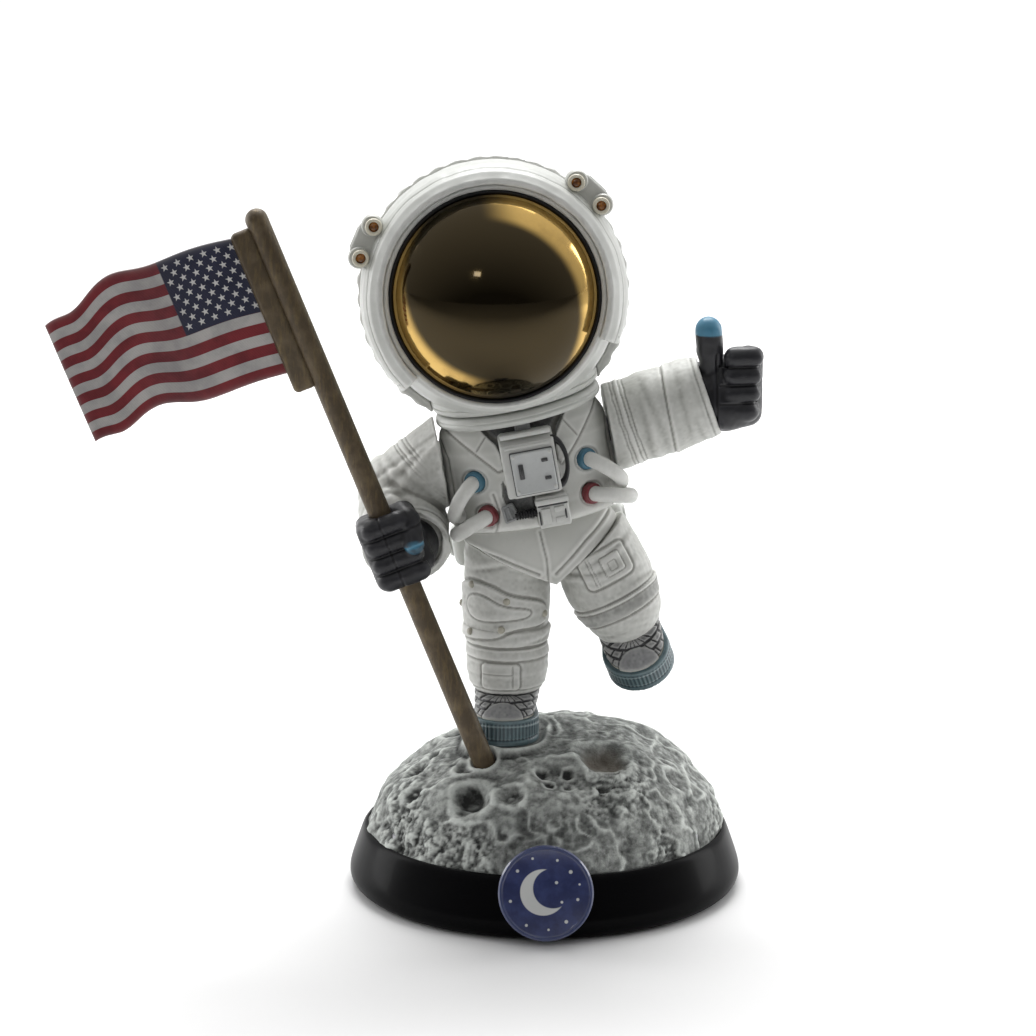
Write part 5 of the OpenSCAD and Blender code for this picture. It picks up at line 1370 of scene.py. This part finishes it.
# ---- Helmet
def make_helmet():
    # chin collar, with the two fine lines of its pressed ring
    profile = [(4.06, 1.25), (18.6, 1.25), (19.4, 1.9), (19.5, 2.6), (19.25, 2.85), (19.5, 3.1),
               (19.4, 4.15), (4.06, 4.15)]
    bm = spun(profile, 180)
    piece("chin_ring", NECK, bm, "helmet", "suit_white", helmet_white, "helmet_collar")

    # smooth front shell with a raised rim round the visor's opening
    skin = skin_of("front_shell", HELMET, "helmet_shell", 0.32, 5)
    skin.push(0.05 * lumps(skin.at, 5.0, 91, 2))
    skin.stain_and_shade(fine=0.06, broad=0.4)
    skin.finish("helmet", "suit_white", helmet_white, "helmet_shell")

    # quilted cover: gathers, stitched seams and puckers
    skin = skin_of("quilted_cover", HELMET, "helmet_cover", 0.36, 6)
    x, y, z = skin.xyz
    out = eased(np.linalg.norm(skin.at, axis=1), 29.9, 30.5)
    turn = np.arctan2(x, y)
    back = eased(-z, 1, 5)
    swirl = np.stack([turn * 12, z * 0.45, z * 0], 1)
    skin.push(out * (0.34 * lumps(swirl, 3.0, 92, 2) + 0.12 * lumps(skin.at, 1.6, 93)) * back)
    scallop = np.abs(np.sin(turn * 21 + 0.8 * lumps(swirl, 9, 98))) - 0.6
    skin.push(out * 0.95 * scallop * eased(-z, 1.8, 3) * (1 - eased(-z, 9, 14)))
    for level in (-4.6, -13, -21):
        away = z - level - 0.5 * lumps(np.stack([turn * 8, z * 0, z * 0], 1), 4.0, int(-level))
        skin.push(out * (seam(away, 0.34, 0.3) - 0.14 * np.exp(-((away / 1.6) ** 2))
                         * np.maximum(0, np.sin(turn * 46))))
    for spoke in range(8):
        spread = np.abs((turn - spoke * math.tau / 8 + math.pi) % math.tau - math.pi) * np.hypot(x, y)
        skin.push(out * eased(-z, 4.8, 5.4) * seam(spread, 0.26, 0.3))
    skin.stain_and_shade(fine=0.07, broad=0.2)
    skin.finish("helmet", "suit_white", helmet_white, "helmet_cover")

    # hood over the visor, with rounded ends and a rolled front lip
    skin = skin_of("visor_hood", HELMET, "helmet_hood", 0.3, 7)
    x, y, z = skin.xyz
    turn = np.degrees(np.arctan2(x, y))
    skin.push(0.10 * lumps(skin.at, 4.0, 95, 2))
    outer = eased(np.hypot(x, y), 26.4, 28)
    skin.push(outer * -0.2 * groove(z - 17.3 - 0.2 * np.sin(np.radians(turn * 3)), 0.3))
    ends = HOOD_HALF_ANGLE - 3.2 - np.abs(turn)
    skin.push(outer * -0.22 * groove(ends * 0.52, 0.3) * (z < 16.5))
    skin.stain_and_shade(fine=0.06, broad=0.3)
    skin.finish("helmet", "suit_white", helmet_white, "helmet_hood")

    # gold visor and its black gasket
    dome = VISOR_DOME_R + 1
    centre = OPENING - math.sqrt(dome ** 2 - (VISOR_R - 0.3) ** 2)
    low = math.asin((VISOR_R - 0.25) / dome)
    profile = []
    for k in range(49):
        angle = low * k / 48
        profile.append((dome * math.sin(angle), centre + dome * math.cos(angle)))
    inner = [(max(0, (dome - 1.3) * math.sin(low * 0.985 * k / 24)),
              centre + (dome - 1.3) * math.cos(low * 0.985 * k / 24)) for k in range(24, -1, -1)]
    bm = spun(profile + inner, 180, closed=False)
    skin = skin_from("visor_dome", HELMET, bm)
    x, y, z = skin.xyz
    # painted reflections of the side softboxes: a gold crescent on each side near the rim, dark in the
    # middle and towards the bottom
    crescent = np.where(x > 0, np.hypot(x + 3.2, y + 3.5) - 21.2, np.hypot(x - 2.4, y - 3) - 21.8)
    middle = eased(np.abs(x + 0.5), 1, 11)
    skin.marks["rim"] = eased(crescent, -0.4, 1.6) * middle * (1 - 0.75 * eased(-y, 15, 21))
    skin.finish("helmet", "visor_gold", visor_gold, "visor")
    gasket = rounded([(22.9, 18.15), (23.95, 18.15), (23.95, 19.0), (23.6, 19.25), (23.1, 18.9)], 2)
    piece("visor_gasket_ring", HELMET, spun(gasket, 200), "helmet", "foam_black", gasket_black,
          "visor_gasket")


def make_lamps():
    shells, rings, glasses = [], [], []
    for side in (-1, 1):
        for angle in LAMP_ANGLES:
            at = turned("Z", -side * angle).to_4x4() @ shift(0, LAMP_RING_R - 1.2, LAMP_DEPTH)
            barrel = [(0, -8.4), (2.0, -8.4), (2.5, -7.8), (2.5, -0.9), (2.2, -0.5), (0, -0.5)]
            shells.append((spun(barrel, 56, closed=False), at @ shift(0, 0.4, 0)))
            ring = [(1.15, -1.9), (1.7, -1.9), (1.7, -0.4), (1.95, -0.3), (1.97, 0.2), (1.82, 0.42),
                    (1.95, 0.62), (1.95, 0.95), (1.8, 1.2), (1.4, 1.2), (1.15, 0.9)]
            rings.append((spun(ring, 72), at))
            glass = [(0, -1), (1.13, -1), (1.14, 0.1), (0.9, 0.34), (0.5, 0.46), (0, 0.5)]
            glasses.append((spun(glass, 56, closed=False), at))
        at = turned("Z", -side * 55)
        box = rounded_box((8.6, 5.8, 7.4), (0, 31.4, 11.6), 0.9, 4)
        for vert in box.verts:
            if vert.co.y > 33:
                vert.co.x *= 0.82
                vert.co.z = 11.1 + (vert.co.z - 11.1) * 0.86
        shells.append((box, at))
        shells.append((rounded_box((5.2, 1.0, 3.4), (0, 34.0, 12.2), 0.3, 2), at))
        shells.append((rounded_box((9.0, 2.2, 1.4), (0, 30.9, 13.9), 0.4, 3), at))
    piece("lamp_cases", HELMET, joined(shells), "helmet", "trim_grey", lamp_grey, "lamp_housings")
    piece("lamp_rings", HELMET, joined(rings), "helmet", "box_white", bezel_cream, "lamp_bezels")
    piece("lamp_glasses", HELMET, joined(glasses), "helmet", "lens_amber", lens_amber, "lamp_lenses",
          sharp=60)


# ---- Flag
def make_flag():
    profile = [(0, -POLE_DOWN), (POLE_R - 0.35, -POLE_DOWN), (POLE_R, -POLE_DOWN + 0.35)]
    profile += [(POLE_R, z) for z in (-40, -20, 0, 20, 40, 60)]
    top = POLE_UP - POLE_R
    profile += [(POLE_R * math.cos(math.radians(a)), top + POLE_R * math.sin(math.radians(a)))
                for a in range(0, 90, 9)] + [(0, POLE_UP)]
    skin = skin_from("pole_bar", POLE, spun(profile, 96, closed=False))
    skin.marks["wash_and_shade"] = 0 * skin.at[:, 0]
    skin.marks["edge"] = groove(skin.at[:, 2] - FIST_LOW_Z, 1.0) * 0.4
    skin.finish("flag", "pole_bronze", pole_bronze, "flag_pole")
    middle = (-4.4, 0, BATTEN_TOP - BATTEN_LEN / 2)
    batten = rounded_box((BATTEN_W, BATTEN_T, BATTEN_LEN), middle, 1.25, 5)
    piece("flag_sleeve", POLE, batten, "flag", "pole_bronze", pole_bronze, "flag_batten")

    # the moulded cloth: waves that grow towards the fly, and a sagging top edge
    columns, rows = 190, 120
    bm = bmesh.new()
    bmesh.ops.create_grid(bm, x_segments=columns, y_segments=rows, size=0.5)
    bmesh.ops.solidify(bm, geom=bm.faces[:], thickness=0.001)
    bmesh.ops.recalc_face_normals(bm, faces=bm.faces)
    layer = bm.loops.layers.uv.new("cloth")
    for face in bm.faces:
        for loop in face.loops:
            loop[layer].uv = (loop.vert.co.x + 0.5, loop.vert.co.y + 0.5)
    # the grid is one unit wide, so the skin starts unscaled and takes its place in mm afterwards
    skin = Skin("flag_moulding", Matrix.Scale(1 / MM, 4), mesh_from("flag_moulding", bm))
    skin.place = POLE @ Matrix.Scale(MM, 4)
    u, v, t = skin.xyz.copy()
    u, v = u + 0.5, v + 0.5
    face = np.sign(t - (t.min() + t.max()) / 2)
    wave = np.radians(400 * u + 40 * v)
    hang = np.minimum(u / 0.84, 1.3) * math.pi
    skin.at[:, 0] = -FLAG_X - FLAG_LEN * u
    skin.at[:, 1] = -3.4 * u * np.sin(wave) * (1 - 0.25 * v) + face * 0.5 * (FLAG_T - 0.1)
    skin.at[:, 2] = (FLAG_MID + (v - 0.5) * FLAG_H * (1 - FLAG_TAPER * u) + 2.5 * np.sin(hang)
                     * (0.35 + 0.65 * v) + 1.2 * u * np.sin(np.radians(500 * u + 60))
                     + 1.7 * groove(u - 0.63, 0.13) - 0.9 * groove(u - 0.84, 0.08)
                     + 1.3 * eased(u, 0.86, 1.0))
    # the crests of the waves get a painted highlight through the edge mark, and their troughs get painted
    # shade in place of a wash
    skin.stain_and_shade(fine=0.5, broad=0.6)
    trough_shade = np.clip(-np.cos(wave - 0.6), 0, 1) ** 3 * u
    skin.marks["wash_and_shade"] = np.clip(0.85 * trough_shade, 0, 1)
    skin.finish("flag", "flag_print", flag_print, "flag_cloth")


make_plinth()
make_moon()
make_badge()
make_leg_right()
make_sole("boot_sole_planted", BOOT_R, "boot_right_sole", "stand")
make_upper("boot_planted", BOOT_R, "boot_right_upper", "stand")
make_leg_left()
make_sole("boot_sole_raised", BOOT_L, "boot_left_sole", "left_leg")
make_upper("boot_raised", BOOT_L, "boot_left_upper", "left_leg")
make_pelvis()
make_torso()
make_collars("collars_blue", BLUE_SPOTS, "collar_blue", collar_blue, "hose_collars_blue")
make_collars("collars_red", RED_SPOTS, "collar_red", collar_red, "hose_collars_red")
make_hoses("tubes_right", "hoses_right", ((BLUE_SPOTS[0], 10.2, 52), (RED_SPOTS[0], 9.2, 24)))
make_hoses("tubes_left", "hoses_left", ((BLUE_SPOTS[1], 11, 44), (RED_SPOTS[1], 10.6, 18)))
make_chest_gear()
make_neck_ring()
make_backpack()
make_sleeve_left()
make_sleeve_right()
make_gloves()
make_helmet()
make_lamps()
make_flag()

KEPT = {"base_pad": foam_black, "base_plate": plinth_black, "plinth_screws": screw_steel,
        "foot_screw": screw_steel, "neck_peg": peg_grey, "shoulder_peg_left": peg_grey,
        "shoulder_peg_right": peg_grey, "wrist_peg_left": peg_grey, "wrist_peg_right": peg_grey,
        "hip_peg_left": peg_grey, "hip_peg_right": peg_grey}
for node, coat in KEPT.items():
    nodes[node].data.materials.clear()
    nodes[node].data.materials.append(coat)


# ---- Studio
def softbox(name, at, toward, size, watts, spread=180):
    data = bpy.data.lights.new(name, "AREA")
    data.shape = "RECTANGLE"
    data.size, data.size_y = size
    data.energy = watts
    data.spread = math.radians(spread)
    obj = added(name, data)
    obj.location = at
    aim = (Vector(toward) - Vector(at)).normalized()
    obj.rotation_euler = aim.to_track_quat("-Z", "Y").to_euler()


bm = bmesh.new()
bmesh.ops.create_grid(bm, x_segments=2, y_segments=2, size=60)
mesh = mesh_from("studio_floor", bm)
# the floor is darker in front of the figure, so that it throws little light up at it
paper = Paint("floor_paper", roughness=0.85, specular_ior_level=0.05)
split = paper.node("ShaderNodeSeparateXYZ", None, {0: paper.place()}, out=1)
shade = paper.blend(paper.ramp(split, -0.7, -0.14), (0.3, 0.3, 0.3), (0.8, 0.8, 0.8))
shade = paper.blend(paper.ramp(split, 0.1, 0.5), shade, (0.95, 0.95, 0.95))
mesh.materials.append(paper.feed(base_color=shade))
added("studio_floor", mesh)

CHEST_LEVEL = (0, 0, 0.14)
softbox("light_top", (0.0, 0.5, 0.95), CHEST_LEVEL, (0.7, 0.4), 7.5)
softbox("light_right_rim", (-0.85, 0.35, 0.3), CHEST_LEVEL, (0.35, 0.7), 3.5)
softbox("light_left_rim", (0.85, 0.35, 0.3), CHEST_LEVEL, (0.35, 0.7), 3.5)
softbox("light_front", (-0.35, -1.1, 0.75), (0, 0, 0.1), (0.14, 0.1), 0.4)
softbox("light_floor", (0, 1.9, 2.4), (0, 1.7, 0), (2.5, 2.5), 36)

world = bpy.data.worlds.new("studio_sky")
bpy.context.scene.world = world
world.use_nodes = True
links = world.node_tree.links
sky = next(node for node in world.node_tree.nodes if node.type == "BACKGROUND")
way = world.node_tree.nodes.new("ShaderNodeTexCoord").outputs["Generated"]
weigh = world.node_tree.nodes.new("ShaderNodeVectorMath")
weigh.operation = "DOT_PRODUCT"
weigh.inputs[1].default_value = (0, 0.6, 0.5)
links.new(way, weigh.inputs[0])
# the sky is bright behind and above the figure, and dim in front of it
tone = world.node_tree.nodes.new("ShaderNodeMapRange")
for socket, value in (("From Min", -0.5), ("From Max", 0.75), ("To Min", 0.07), ("To Max", 0.95)):
    tone.inputs[socket].default_value = value
links.new(weigh.outputs["Value"], tone.inputs["Value"])
links.new(tone.outputs["Result"], sky.inputs["Strength"])
sky.inputs["Color"].default_value = (1, 1, 1, 1)

CAMERA_AT = Vector((-6.284, -951.792, 318.465)) * MM
CAMERA_TILT = 13.607
camera = added("camera", bpy.data.cameras.new("camera"))
camera.location = CAMERA_AT
camera.rotation_euler = (math.radians(90 - CAMERA_TILT), 0, 0)
camera.data.lens = 146.54
camera.data.sensor_width = 36
camera.data.clip_start = 0.05
camera.data.clip_end = 100
bpy.context.scene.camera = camera
bpy.context.scene.view_settings.view_transform = "Standard"
